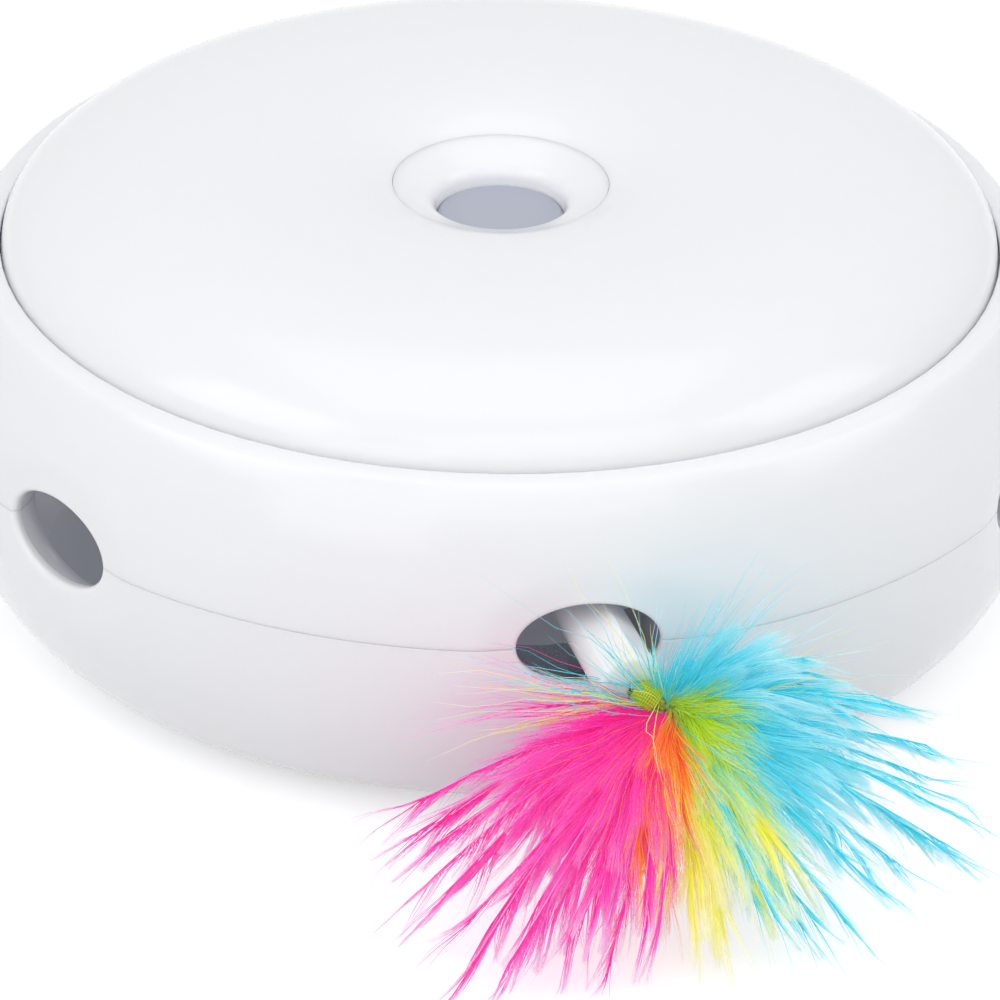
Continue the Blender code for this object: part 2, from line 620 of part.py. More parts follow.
def make_top_cover(white):
    """The domed disc, with a round hole for the bezel and bosses underneath."""
    reach = COVER_RADIUS - CROWN_RADIUS
    edge = MID_HEIGHT + LEDGE_HEIGHT + CLEARANCE
    outside = cover_profile(0, CORNER_POINTS)
    inside = cover_profile(SHELL_WALL, INNER_POINTS)
    cover = add_object("top_cover", turn(outside + inside[::-1], BODY_STEPS, ring=True), white)

    rise = COVER_HEIGHT - SHELL_WALL
    share = (COVER_BOSS_RING - CROWN_RADIUS) / (reach - SHELL_WALL)
    boss_top = MID_HEIGHT + COVER_EDGE_HEIGHT + rise * math.sqrt(1 - share ** 2) + SHELL_WALL / 4
    bosses = [rod(COVER_BOSS_RADIUS, edge, boss_top, centre=place)
              for place in cover_screw_places()]
    board_seat = BOARD_HEIGHT + CLEARANCE
    bosses += [rod(BOARD_BOSS_RADIUS, board_seat, funnel_height(BOARD_BOSS_RING)
                   - SHELL_WALL / 2, centre=place) for place in board_screw_places()]
    shape_with(cover, add_cutter("cover_bosses", joined(bosses)), "UNION")
    screw_bore = SCREW_RADIUS + CLEARANCE
    holes = [rod(screw_bore, edge - OVERRUN, edge + SCREW_LENGTH - SHELL_WALL, TINY_STEPS, place)
             for place in cover_screw_places()]
    holes += [rod(screw_bore, board_seat - OVERRUN, board_seat + SCREW_LENGTH, TINY_STEPS, place)
              for place in board_screw_places()]
    shape_with(cover, add_cutter("cover_screw_holes", joined(holes)), "DIFFERENCE")
    return cover


def make_bezel(white):
    """The insert round the button, clipped under the cover by its flange."""
    flange_top = funnel_height(BEZEL_RADIUS) - SHELL_WALL - CLEARANCE
    flange_bottom = flange_top - BEZEL_FLANGE_THICKNESS
    lip = BEZEL_LIP_RADIUS + BEZEL_SKIRT_WALL / 2
    outline = [(BEZEL_RADIUS, flange_top), (BEZEL_RADIUS, funnel_height(BEZEL_RADIUS)),
               ((BEZEL_RADIUS + lip) / 2, funnel_height((BEZEL_RADIUS + lip) / 2)),
               (lip, funnel_height(lip)),
               (BEZEL_LIP_RADIUS, funnel_height(lip) - BEZEL_SKIRT_WALL / 2),
               (BEZEL_BORE_RADIUS, MID_HEIGHT + BEZEL_BORE_TOP),
               (BEZEL_BORE_RADIUS, MID_HEIGHT + BEZEL_BOTTOM),
               (BEZEL_LIP_RADIUS + BEZEL_SKIRT_WALL, MID_HEIGHT + BEZEL_BOTTOM),
               (BEZEL_LIP_RADIUS + BEZEL_SKIRT_WALL, flange_bottom),
               (BEZEL_FLANGE_RADIUS, flange_bottom), (BEZEL_FLANGE_RADIUS, flange_top)]
    return add_object("button_bezel", turn(outline, DISC_STEPS, ring=True), white)


def make_button(grey, white):
    """The power button, and the switch plunger that it pushes."""
    radius = BEZEL_BORE_RADIUS - CLEARANCE
    flange_top = MID_HEIGHT + BUTTON_FLANGE_TOP
    flange_bottom = flange_top - BUTTON_FLANGE_THICKNESS
    flange_radius = radius + BUTTON_FLANGE_WIDTH
    stem_bottom = MID_HEIGHT + BUTTON_STEM_BOTTOM
    top = MID_HEIGHT + BUTTON_TOP
    outline = [(0, stem_bottom), (BUTTON_STEM_RADIUS, stem_bottom),
               (BUTTON_STEM_RADIUS, flange_bottom), (flange_radius, flange_bottom),
               (flange_radius, flange_top), (radius, flange_top),
               (radius, top - BUTTON_DISH_DEPTH), (radius - BUTTON_DISH_DEPTH, top),
               (radius / 2, top - BUTTON_DISH_DEPTH), (0, top - BUTTON_DISH_DEPTH)]
    button = add_object("power_button", turn(outline, DISC_STEPS), grey)
    plunger_top = MID_HEIGHT + PLUNGER_TOP
    plunger = add_object("switch_plunger", rod(PLUNGER_RADIUS, plunger_top - PLUNGER_LENGTH,
                                               plunger_top), white)
    return button, plunger


def make_control_board(green, black, lens):
    """The round circuit board under the cover, with its switch and lamp."""
    low = BOARD_HEIGHT - BOARD_THICKNESS
    board = add_object("control_board", rod(BOARD_RADIUS, low, BOARD_HEIGHT, DISC_STEPS),
                       green)
    holes = [rod(SCREW_RADIUS + CLEARANCE, low - OVERRUN, BOARD_HEIGHT + OVERRUN, TINY_STEPS,
                 place) for place in board_screw_places()]
    shape_with(board, add_cutter("board_holes", joined(holes)), "DIFFERENCE")
    seat = BOARD_HEIGHT + CLEARANCE
    half = SWITCH_WIDTH / 2
    top = MID_HEIGHT + SWITCH_TOP
    switch = add_object("tact_switch", block((-half, -half, seat), (half, half, top)), black)
    bore = rod(PLUNGER_RADIUS + CLEARANCE, top - SWITCH_BORE_DEPTH, top + OVERRUN)
    shape_with(switch, add_cutter("switch_bore", bore), "DIFFERENCE")
    lamp = add_object("status_led", rod(LED_RADIUS, seat, BOARD_HEIGHT + LED_HEIGHT,
                                        TINY_STEPS, (LED_OFFSET, 0)), lens)
    return board, switch, lamp


def make_screw(name, place, seat, steel, length, upward):
    """A pan head screw whose head bears on a seat, with its shank pointing up or down."""
    way = 1 if upward else -1
    head = seat - way * SCREW_HEAD_HEIGHT
    outline = [(0, head), (SCREW_HEAD_RADIUS * SCREW_CROWN_SHARE, head),
               (SCREW_HEAD_RADIUS, head + way * SCREW_HEAD_HEIGHT / 2),
               (SCREW_HEAD_RADIUS, seat), (SCREW_RADIUS, seat),
               (SCREW_RADIUS, seat + way * length), (0, seat + way * length)]
    return add_object(name, turn(outline, TINY_STEPS, centre=(*place, 0)), steel)


def make_screws(steel):
    """The screws of the drive plate, the control board and the top cover."""
    for number, place in enumerate(plate_boss_places(), 1):
        make_screw(f"plate_screw_{number}", place, PLATE_TOP + CLEARANCE, steel,
                   SCREW_LENGTH, False)
    board_seat = BOARD_HEIGHT - BOARD_THICKNESS - CLEARANCE
    for number, place in enumerate(board_screw_places(), 1):
        make_screw(f"board_screw_{number}", place, board_seat, steel, SCREW_LENGTH, True)
    ledge_seat = MID_HEIGHT + LEDGE_BOTTOM - CLEARANCE
    for number, place in enumerate(cover_screw_places(), 1):
        make_screw(f"cover_screw_{number}", place, ledge_seat, steel, SCREW_LENGTH, True)


def door_outline(gap):
    """The battery door seen from above, grown by a gap all round: a rectangle and an ear."""
    half = DOOR_HALF_LENGTH + gap
    ear = DOOR_EAR_RADIUS + gap
    centre = door_screw_place()[1]
    points = [(half, TRAY_INNER_START - gap), (half, TRAY_INNER_END + gap), (-half, TRAY_INNER_END + gap),
              (-half, TRAY_INNER_START - gap), (-ear, TRAY_INNER_START - gap)]
    for step in range(SMALL_STEPS // 2 + 1):
        angle = math.pi + math.pi * step / (SMALL_STEPS // 2)
        points.append((ear * math.cos(angle), centre + ear * math.sin(angle)))
    return points + [(ear, TRAY_INNER_START - gap)]


def make_battery_bay(white, label, steel, gold):
    """The tray, its cells, their contacts, and the door that closes them in."""
    door = add_object("battery_door", prism(door_outline(0), FOOT_HEIGHT, DOOR_TOP), white)
    place = door_screw_place()
    counterbore = rod(SCREW_HEAD_RADIUS + CLEARANCE, FOOT_HEIGHT - OVERRUN,
                      FOOT_HEIGHT + SCREW_HEAD_HEIGHT, SMALL_STEPS, place)
    shape_with(door, add_cutter("door_counterbore", counterbore), "DIFFERENCE")
    through = rod(SCREW_RADIUS + CLEARANCE, FOOT_HEIGHT, DOOR_TOP + OVERRUN, TINY_STEPS, place)
    shape_with(door, add_cutter("door_hole", through), "DIFFERENCE")
    make_screw("door_screw", place, FOOT_HEIGHT + SCREW_HEAD_HEIGHT - CLEARANCE, steel,
               SCREW_LENGTH, True)

    tray = add_object("battery_tray", block((-TRAY_HALF_LENGTH, TRAY_OFFSET, FLOOR_TOP + CLEARANCE),
                                            (TRAY_HALF_LENGTH, TRAY_END, TRAY_TOP)), white)
    inner = TRAY_INNER_HALF_LENGTH
    hollow = block((-inner, TRAY_INNER_START, FLOOR_TOP - OVERRUN),
                   (inner, TRAY_INNER_END, TRAY_TOP - TRAY_WALL))
    shape_with(tray, add_cutter("tray_hollow", hollow), "DIFFERENCE")

    for number in range(CELL_COUNT):
        along = TRAY_INNER_START + CLEARANCE + CELL_RADIUS + CELL_PITCH * number
        way = 1 if number % 2 else -1
        make_cell(f"battery_{number + 1}", along, way, label)
        plate = way * (inner - CLEARANCE)
        side = CONTACT_WIDTH / 2
        low = min(plate, plate - way * CONTACT_THICKNESS)
        add_object(f"contact_plate_{number + 1}",
                   block((low, along - side, CELL_HEIGHT - side),
                         (low + CONTACT_THICKNESS, along + side, CELL_HEIGHT + side)), gold)
        make_contact_spring(f"contact_spring_{number + 1}", along, -way, inner, gold)


def cell_span():
    """How far a cell's flat end and its nub lie from the tray's middle."""
    nub_tip = TRAY_INNER_HALF_LENGTH - 2 * CLEARANCE - CONTACT_THICKNESS
    return nub_tip - CELL_NUB_LENGTH - CELL_LENGTH, nub_tip


def make_cell(name, along, way, label):
    flat_end, nub_tip = cell_span()
    shoulder = nub_tip - CELL_NUB_LENGTH
    outline = [(0, flat_end), (CELL_RADIUS, flat_end), (CELL_RADIUS, shoulder),
               (CELL_NUB_RADIUS, shoulder), (CELL_NUB_RADIUS, nub_tip), (0, nub_tip)]
    made = turn(outline, SMALL_STEPS)
    bmesh.ops.rotate(made, verts=made.verts, cent=(0, 0, 0),
                     matrix=Matrix.Rotation(way * math.pi / 2, 3, "Y"))
    bmesh.ops.translate(made, verts=made.verts, vec=(0, along, CELL_HEIGHT))
    return add_object(name, made, label)


def make_contact_spring(name, along, way, wall, gold):
    """A coil contact between the tray's end wall and a cell's flat end."""
    flat_end = cell_span()[0]
    start = wall - CLEARANCE - CONTACT_WIRE_RADIUS
    end = -flat_end + CLEARANCE + CONTACT_WIRE_RADIUS
    turns = CONTACT_SPRING_TURNS
    count = turns * TINY_STEPS
    points = []
    for step in range(count + 1):
        angle = math.tau * turns * step / count
        across = start + (end - start) * step / count
        points.append((way * across, along + CONTACT_SPRING_RADIUS * math.cos(angle),
                       CELL_HEIGHT + CONTACT_SPRING_RADIUS * math.sin(angle)))
    return add_wire(name, points, CONTACT_WIRE_RADIUS, gold, resolution=1)


def add_wire(name, points, radius, paint, resolution=2):
    """A round bevelled curve through a list of points, with closed ends."""
    curve = bpy.data.curves.new(name, "CURVE")
    curve.dimensions = "3D"
    curve.bevel_depth = radius
    curve.bevel_resolution = resolution
    curve.use_fill_caps = True
    line = curve.splines.new("POLY")
    line.points.add(len(points) - 1)
    for held, point in zip(line.points, points):
        held.co = (*point, 1)
    curve.materials.append(paint)
    made = bpy.data.objects.new(name, curve)
    bpy.context.collection.objects.link(made)
    return made


def gear_outline(teeth, module, phase):
    """Involute teeth, eased a little so that they run clear of each other."""
    pitch = teeth * module / 2
    pressure = math.radians(PRESSURE_ANGLE)
    base = pitch * math.cos(pressure)
    tip = pitch + module * TIP_SHARE
    root = pitch - module * ROOT_SHARE
    half_at_pitch = (math.pi * module / 2 - GEAR_BACKLASH_WIDTH / 2) / (2 * pitch)

    def half_angle(radius):
        slope = math.acos(min(1, base / radius))
        return (half_at_pitch + math.tan(pressure) - pressure - (math.tan(slope) - slope))

    flank = [(root, half_angle(max(root, base))), (pitch, half_at_pitch), (tip, half_angle(tip))]
    points = []
    for tooth in range(teeth):
        middle = phase + math.tau * tooth / teeth
        for radius, half in flank:
            points.append((radius * math.cos(middle - half), radius * math.sin(middle - half)))
        for radius, half in reversed(flank):
            points.append((radius * math.cos(middle + half), radius * math.sin(middle + half)))
    return points


def parented(piece, axis):
    piece.parent = axis
    return piece


def add_axis(name, place, turned=0):
    """An empty on a joint's axis."""
    made = bpy.data.objects.new(name, None)
    made.location = place
    made.rotation_euler = (0, 0, math.radians(turned))
    bpy.context.collection.objects.link(made)
    return made


def make_drive_plate(white, steel):
    """The plate that carries the axle, the idler's pin and the motor's collar."""
    plate = add_object("drive_plate", rod(PLATE_RADIUS, PLATE_BOTTOM, PLATE_TOP, DISC_STEPS,
                                          (0, -PLATE_OFFSET)), white)
    motor_place = (0, -MOTOR_AHEAD, 0)
    bore = MOTOR_BORE_RADIUS
    low, high = PLATE_BOTTOM - MOTOR_COLLAR_DEPTH, PLATE_TOP - PLATE_THICKNESS / 2
    collar = [(bore, low), (bore + MOTOR_COLLAR_WALL, low), (bore + MOTOR_COLLAR_WALL, high),
              (bore, high)]
    shape_with(plate, add_cutter("motor_collar", turn(collar, ROUND_STEPS, True, motor_place)),
               "UNION")
    low, high = PLATE_BOTTOM - OVERRUN, PLATE_TOP + OVERRUN
    holes = [rod(SCREW_RADIUS + CLEARANCE, low, high, TINY_STEPS, place)
             for place in plate_boss_places()]
    holes.append(rod(AXLE_RADIUS + CLEARANCE, low, high))
    holes.append(rod(IDLER_PIN_RADIUS + CLEARANCE, low, high, TINY_STEPS, IDLER_PLACE))
    holes.append(rod(MOTOR_SHAFT_RADIUS + CLEARANCE, low, high, TINY_STEPS, (0, -MOTOR_AHEAD)))
    shape_with(plate, add_cutter("plate_holes", joined(holes)), "DIFFERENCE")

    head = CRANK_FLANGE_TOP + CLEARANCE
    foot = PLATE_BOTTOM - AXLE_FOOT_LENGTH
    axle = [(0, foot), (AXLE_RADIUS, foot), (AXLE_RADIUS, head), (AXLE_HEAD_RADIUS, head),
            (AXLE_HEAD_RADIUS, head + AXLE_HEAD_HEIGHT), (0, head + AXLE_HEAD_HEIGHT)]
    add_object("centre_axle", turn(axle, SMALL_STEPS), steel)
    head = IDLER_TOP + CLEARANCE
    pin = [(0, PLATE_BOTTOM), (IDLER_PIN_RADIUS, PLATE_BOTTOM), (IDLER_PIN_RADIUS, head),
           (2 * IDLER_PIN_RADIUS, head), (2 * IDLER_PIN_RADIUS, head + IDLER_PIN_RADIUS / 2),
           (0, head + IDLER_PIN_RADIUS / 2)]
    add_object("idler_pin", turn(pin, TINY_STEPS, centre=(*IDLER_PLACE, 0)), steel)
    return plate


def make_motor(steel, yellow):
    """The flat motor, with its pinion on the shaft."""
    place = (0, -MOTOR_AHEAD)
    motor = add_object("motor", rod(MOTOR_RADIUS, MOTOR_BOTTOM, MOTOR_TOP, ROUND_STEPS, place),
                       steel)
    bore = rod(MOTOR_SHAFT_RADIUS + CLEARANCE, MOTOR_TOP - MOTOR_SHAFT_DEPTH - CLEARANCE,
               MOTOR_TOP + OVERRUN, TINY_STEPS, place)
    shape_with(motor, add_cutter("motor_bore", bore), "DIFFERENCE")

    across, along = IDLER_PLACE
    facing = math.atan2(along + MOTOR_AHEAD, across)
    outline = gear_outline(MOTOR_PINION_TEETH, FINE_MODULE, facing + math.pi / MOTOR_PINION_TEETH)
    axis = add_axis("motor_axis", (*place, 0))
    low = PLATE_TOP + CLEARANCE
    pinion = add_object("motor_pinion", prism(outline, low, IDLER_WHEEL_TOP), yellow)
    shaft = parented(add_cutter("motor_shaft", rod(MOTOR_SHAFT_RADIUS, MOTOR_TOP
                                                   - MOTOR_SHAFT_DEPTH, IDLER_WHEEL_TOP
                                                   - CLEARANCE, TINY_STEPS)), axis)
    shape_with(parented(pinion, axis), shaft, "UNION")


def make_idler(yellow):
    """The compound gear between the motor and the crank."""
    across, along = IDLER_PLACE
    axis = add_axis("idler_axis", (across, along, 0))
    to_motor = math.atan2(-MOTOR_AHEAD - along, -across)
    to_crank = math.atan2(-along, -across)
    wheel = prism(gear_outline(IDLER_WHEEL_TEETH, FINE_MODULE, to_motor),
                  IDLER_WHEEL_BOTTOM, IDLER_WHEEL_TOP)
    idler = parented(add_object("idler_gear", wheel, yellow), axis)
    pinion = prism(gear_outline(IDLER_PINION_TEETH, COARSE_MODULE,
                                to_crank + math.pi / IDLER_PINION_TEETH),
                   (IDLER_WHEEL_BOTTOM + IDLER_WHEEL_TOP) / 2, IDLER_TOP)
    shape_with(idler, parented(add_cutter("idler_pinion", pinion), axis), "UNION")
    bore = rod(IDLER_PIN_RADIUS + CLEARANCE, IDLER_WHEEL_BOTTOM - OVERRUN, IDLER_TOP + OVERRUN,
               TINY_STEPS)
    shape_with(idler, parented(add_cutter("idler_bore", bore), axis), "DIFFERENCE")


def make_crank(yellow, steel):
    """The big gear with the crank pin that the wand's hub turns on."""
    axis = add_axis("crank_axis", (0, 0, 0))
    across, along = IDLER_PLACE
    flange_middle = (CRANK_GEAR_TOP + CRANK_FLANGE_TOP) / 2
    teeth = prism(gear_outline(CRANK_TEETH, COARSE_MODULE, math.atan2(along, across)),
                  CRANK_GEAR_BOTTOM, flange_middle)
    crank = parented(add_object("crank_gear", teeth, yellow), axis)
    hub_bottom = PLATE_TOP + CLEARANCE
    spool = [(0, hub_bottom), (CRANK_HUB_RADIUS, hub_bottom), (CRANK_HUB_RADIUS, CRANK_GEAR_TOP),
             (CRANK_FLANGE_RADIUS, CRANK_GEAR_TOP), (CRANK_FLANGE_RADIUS, CRANK_FLANGE_TOP),
             (0, CRANK_FLANGE_TOP)]
    pin_place = polar(CRANK_PIN_OFFSET, CRANK_REST_AZIMUTH)[:2]
    pin_top = HUB_TOP + CLEARANCE
    screw_depth = pin_top - SCREW_LENGTH - CLEARANCE
    steps = (("crank_spool", turn(spool, DISC_STEPS), "UNION"),
             ("crank_pin", rod(CRANK_PIN_RADIUS, flange_middle, pin_top, SMALL_STEPS, pin_place),
              "UNION"),
             ("crank_bore", rod(AXLE_RADIUS + CLEARANCE, hub_bottom - OVERRUN,
                                CRANK_FLANGE_TOP + OVERRUN), "DIFFERENCE"),
             ("crank_screw_bore", rod(SCREW_RADIUS + CLEARANCE, screw_depth, pin_top + OVERRUN,
                                      TINY_STEPS, pin_place), "DIFFERENCE"))
    for name, mesh_data, operation in steps:
        shape_with(crank, parented(add_cutter(name, mesh_data), axis), operation)

    head = pin_top + CLEARANCE
    radius = CRANK_PIN_RADIUS + SCREW_HEAD_RADIUS / 2
    outline = [(0, screw_depth + CLEARANCE), (SCREW_RADIUS, screw_depth + CLEARANCE),
               (SCREW_RADIUS, head), (radius, head), (radius, head + SCREW_HEAD_HEIGHT / 2),
               (SCREW_HEAD_RADIUS, head + SCREW_HEAD_HEIGHT), (0, head + SCREW_HEAD_HEIGHT)]
    screw = turn(outline, SMALL_STEPS, centre=(*pin_place, 0))
    parented(add_object("crank_screw", screw, steel), axis)


def oval_ring(centre, across, rise, half_across, half_rise, steps=SMALL_STEPS):
    """Points round an oval in the plane of two directions."""
    return [centre + across * (half_across * math.cos(math.tau * step / steps))
            + rise * (half_rise * math.sin(math.tau * step / steps)) for step in range(steps)]


def make_wand(white, lime):
    """The hub and arm, the holder pushed on its spigot, and the thread round the quills."""
    axis = add_axis("wand_axis", polar(CRANK_PIN_OFFSET, CRANK_REST_AZIMUTH), WAND_REST_AZIMUTH)
    side, up = Vector((1, 0, 0)), Vector((0, 0, 1))
    stations = ((WAND_HUB_RADIUS - OVERRUN, WAND_ARM_HALF_WIDTH, WAND_ARM_HALF_HEIGHT),
                (WAND_ARM_REACH, WAND_ARM_HALF_WIDTH, WAND_ARM_HALF_HEIGHT),
                (WAND_ARM_REACH, WAND_SPIGOT_RADIUS, WAND_SPIGOT_RADIUS),
                (WAND_ARM_REACH + WAND_SPIGOT_LENGTH, WAND_SPIGOT_RADIUS, WAND_SPIGOT_RADIUS))
    rings = [oval_ring(Vector((0, -reach, MID_HEIGHT)), side, up, half_width, half_height)
             for reach, half_width, half_height in stations]
    bore = CRANK_PIN_RADIUS + CLEARANCE
    hub = turn([(bore, HUB_BOTTOM), (WAND_HUB_RADIUS, HUB_BOTTOM), (WAND_HUB_RADIUS, HUB_TOP),
                (bore, HUB_TOP)], ROUND_STEPS, ring=True)
    arm = parented(add_object("wand_arm", hub, white), axis)
    shape_with(arm, parented(add_cutter("wand_bar", loft(rings)), axis), "UNION")

    root = WAND_ARM_REACH + CLEARANCE
    tip = root + HOLDER_LENGTH
    bore = WAND_SPIGOT_RADIUS + CLEARANCE
    outline = [(0, tip), (HOLDER_TIP_RADIUS, tip), (HOLDER_RADIUS, tip - HOLDER_TIP_LENGTH),
               (HOLDER_RADIUS, root + HOLDER_TIP_LENGTH), (HOLDER_ROOT_RADIUS, root),
               (bore, root), (bore, WAND_ARM_REACH + WAND_SPIGOT_LENGTH + CLEARANCE),
               (0, WAND_ARM_REACH + WAND_SPIGOT_LENGTH + CLEARANCE)]
    parented(lay_along_wand("feather_holder", outline, white), axis)
    start = tip + CLEARANCE
    binding = rod_outline(BINDING_RADIUS, start, start + BINDING_LENGTH)
    parented(lay_along_wand("quill_binding", binding, lime), axis)
    return axis, start + BINDING_LENGTH


def lay_along_wand(name, outline, paint):
    """Turns an outline round Z, then lays it along the wand, outwards from its hub."""
    made = turn(outline, ROUND_STEPS)
    bmesh.ops.rotate(made, verts=made.verts, cent=(0, 0, 0),
                     matrix=Matrix.Rotation(math.pi / 2, 3, "X"))
    bmesh.ops.translate(made, verts=made.verts, vec=(0, 0, MID_HEIGHT))
    return add_object(name, made, paint)


def make_plumes(axis, root_reach, paints):
    """The soft plumes, as plain closed bodies of their outer shape."""
    turned = Matrix.Rotation(-math.radians(WAND_REST_AZIMUTH), 3, "Z")
    plumes = (("pink_plume", PINK_WAY_SHARES, PINK_LENGTH_SHARE, PINK_WIDTH_SHARES,
               PINK_DEPTH_SHARES),
              ("orange_plume", ORANGE_WAY_SHARES, NARROW_LENGTH_SHARE, NARROW_WIDTH_SHARES,
               NARROW_DEPTH_SHARES),
              ("yellow_plume", YELLOW_WAY_SHARES, NARROW_LENGTH_SHARE, NARROW_WIDTH_SHARES,
               NARROW_DEPTH_SHARES),
              ("aqua_plume", AQUA_WAY_SHARES, 1, AQUA_WIDTH_SHARES, AQUA_DEPTH_SHARES))
    ahead = turned @ Vector((0, -1, 0))
    root = Vector((0, -root_reach - PLUME_ROOT_GAP, MID_HEIGHT))
    for (name, shares, length, widths, depths), paint in zip(plumes, paints):
        way = (turned @ Vector((shares[0], -shares[1], shares[2]))).normalized()
        broad = way.cross(ahead).normalized()
        deep = way.cross(broad)
        start = root + (way - ahead * way.dot(ahead)).normalized() * PLUME_ROOT_RADIUS
        rings = [oval_ring(start + way * (PLUME_LENGTH * length * along), broad, deep,
                           width * PLUME_LENGTH, depth * PLUME_LENGTH, PLUME_STEPS)
                 for along, width, depth in zip(PLUME_STATION_SHARES, widths, depths)]
        parented(add_object(name, loft(rings), paint), axis)


def make_feet(rubber):
    """Four rubber discs, let into the flat bottom."""
    top = FOOT_HEIGHT + FOOT_RECESS_DEPTH - CLEARANCE
    for number, place in enumerate(foot_places(), 1):
        outline = [(0, 0), (FOOT_RADIUS - FOOT_RECESS_DEPTH, 0), (FOOT_RADIUS, FOOT_RECESS_DEPTH),
                   (FOOT_RADIUS, top), (0, top)]
        add_object(f"foot_{number}", turn(outline, SMALL_STEPS, centre=(*place, 0)), rubber)


def smooth_route(points, spacing):
    """Evenly read points of a Catmull-Rom curve through a route."""
    held = [points[0]] + points + [points[-1]]
    route = []
    for before, start, end, after in zip(held, held[1:], held[2:], held[3:]):
        count = max(1, round((end - start).length / spacing))
        for step in range(count):
            share = step / count
            route.append(((2 * start) + (end - before) * share
                          + (2 * before - 5 * start + 4 * end - after) * share ** 2
                          + (3 * start - before - 3 * end + after) * share ** 3) / 2)
    return route + [points[-1]]


def make_leads(black):
    """The twin leads of the battery bay and the motor, up the wall between two holes."""
    under_board = BOARD_HEIGHT - BOARD_THICKNESS - CLEARANCE
    tray_side = TRAY_HALF_LENGTH + CLEARANCE
    battery = [Vector((tray_side, BATTERY_LEAD_OFFSET, LEAD_EXIT_HEIGHT)),
               Vector((tray_side + LEAD_BEND_LENGTH, BATTERY_LEAD_OFFSET, LEAD_EXIT_HEIGHT)),
               Vector(BATTERY_LEAD_TURN)]
    motor_side = -MOTOR_RADIUS - CLEARANCE
    motor = [Vector((motor_side, -MOTOR_AHEAD, LEAD_EXIT_HEIGHT)),
             Vector((motor_side - LEAD_BEND_LENGTH, -MOTOR_AHEAD, LEAD_EXIT_HEIGHT)),
             Vector(MOTOR_LEAD_TURN)]
    leads = (("battery_lead", battery, BATTERY_LEAD_AZIMUTH),
             ("motor_lead", motor, MOTOR_LEAD_AZIMUTH))
    for name, start, azimuth in leads:
        wall = [polar(BODY_RADIUS - depth, azimuth, height) for depth, height in LEAD_WALL_ROUTE]
        end = [polar(BOARD_RADIUS / 2, azimuth, under_board - LEAD_BEND_LENGTH),
               polar(BOARD_RADIUS / 2, azimuth, under_board)]
        add_wire(name, smooth_route(start + wall + end, LEAD_POINT_SPACING), LEAD_RADIUS, black)


def clear_scene():
    for made in list(bpy.data.objects):
        bpy.data.objects.remove(made, do_unlink=True)


def main():
    clear_scene()
    white = material("gloss_white_abs", "F4F5F8", 0.16)
    inner_white = material("plain_white_abs", "E9EAEC", 0.45)
    grey = material("grey_lens", "A9ADBB", 0.30)
    yellow = material("natural_acetal", "EDE7D2", 0.42)
    dark = material("dark_abs", "3A3C40", 0.55)
    green = material("board_green", "1F6B3A", 0.50)
    steel = material("plated_steel", "B9BCC0", 0.30, 1.0)
    gold = material("spring_contact", "C9C3A8", 0.28, 1.0)
    label = material("cell_label", "2A6FB5", 0.35)
    rubber = material("grey_rubber", "6E7075", 0.85)
    lamp = material("lamp_resin", "D8F0FF", 0.12)
    lime = material("lime_thread", "B7D11F", 0.75)
    pink = material("pink_feather", "F5148F", 0.80)
    orange = material("orange_feather", "F59A1E", 0.80)
    sun = material("yellow_feather", "F2E93A", 0.80)
    aqua = material("aqua_feather", "1EC0DC", 0.80)

    hole_cutter = make_hole_cutter()
    make_lower_shell(white, hole_cutter)
    make_upper_shell(white, hole_cutter)
    make_top_cover(white)
    make_bezel(white)
    make_button(grey, inner_white)
    make_control_board(green, dark, lamp)
    make_battery_bay(inner_white, label, steel, gold)
    make_drive_plate(inner_white, steel)
    make_motor(steel, yellow)
    make_idler(yellow)
    make_crank(yellow, steel)
    make_screws(steel)
    make_feet(rubber)
    make_leads(dark)
    axis, reach = make_wand(white, lime)
    make_plumes(axis, reach, (pink, orange, sun, aqua))
    bpy.context.view_layer.update()


main()
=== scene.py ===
"""The looks of the interactive feather cat toy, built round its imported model.

Metres, +Z up. Azimuths are counted from -Y towards +X, as in the model. Sizes are written in
millimetres and multiplied by MM.
"""

import math

import bmesh
import bpy
import numpy as np
from mathutils import Matrix, Vector


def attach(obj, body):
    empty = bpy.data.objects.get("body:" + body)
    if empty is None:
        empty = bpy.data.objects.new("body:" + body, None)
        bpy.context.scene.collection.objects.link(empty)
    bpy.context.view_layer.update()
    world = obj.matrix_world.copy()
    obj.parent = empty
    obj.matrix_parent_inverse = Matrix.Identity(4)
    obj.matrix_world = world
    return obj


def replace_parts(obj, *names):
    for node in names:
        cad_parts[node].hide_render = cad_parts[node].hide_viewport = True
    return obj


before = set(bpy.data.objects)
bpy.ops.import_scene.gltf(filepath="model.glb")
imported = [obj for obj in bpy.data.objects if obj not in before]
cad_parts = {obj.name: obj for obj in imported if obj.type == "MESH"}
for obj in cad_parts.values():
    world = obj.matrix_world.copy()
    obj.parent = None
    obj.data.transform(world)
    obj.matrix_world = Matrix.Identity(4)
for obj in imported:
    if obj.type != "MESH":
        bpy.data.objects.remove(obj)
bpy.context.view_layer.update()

MM = 0.001
# Points nearer than this are one point, in metres
WELD = 0.000004
# The parting line's height
MID = 37.1

# Casing, in millimetres, with heights counted from the parting line
BODY_RADIUS = 89.0
LOWER_FLAT_RADIUS, LOWER_DEPTH = 66.0, 35.6
UPPER_CORNER_RADIUS, UPPER_RISE = 72.0, 31.0
WALL = 2.2
SHOULDER, RIM_TOP = 24.5, 25.3
ROLL_WIDTH, ROLL_RISE, ROLL_START = 3.34, 1.01, 12.1
RIM_BORE, RIM_ROUND, LEDGE_TOP, LEDGE_INNER = 78.65, 0.5, 22.5, 64.0
SEAM_GAP, SEAM_ROUND = 0.07, 0.16

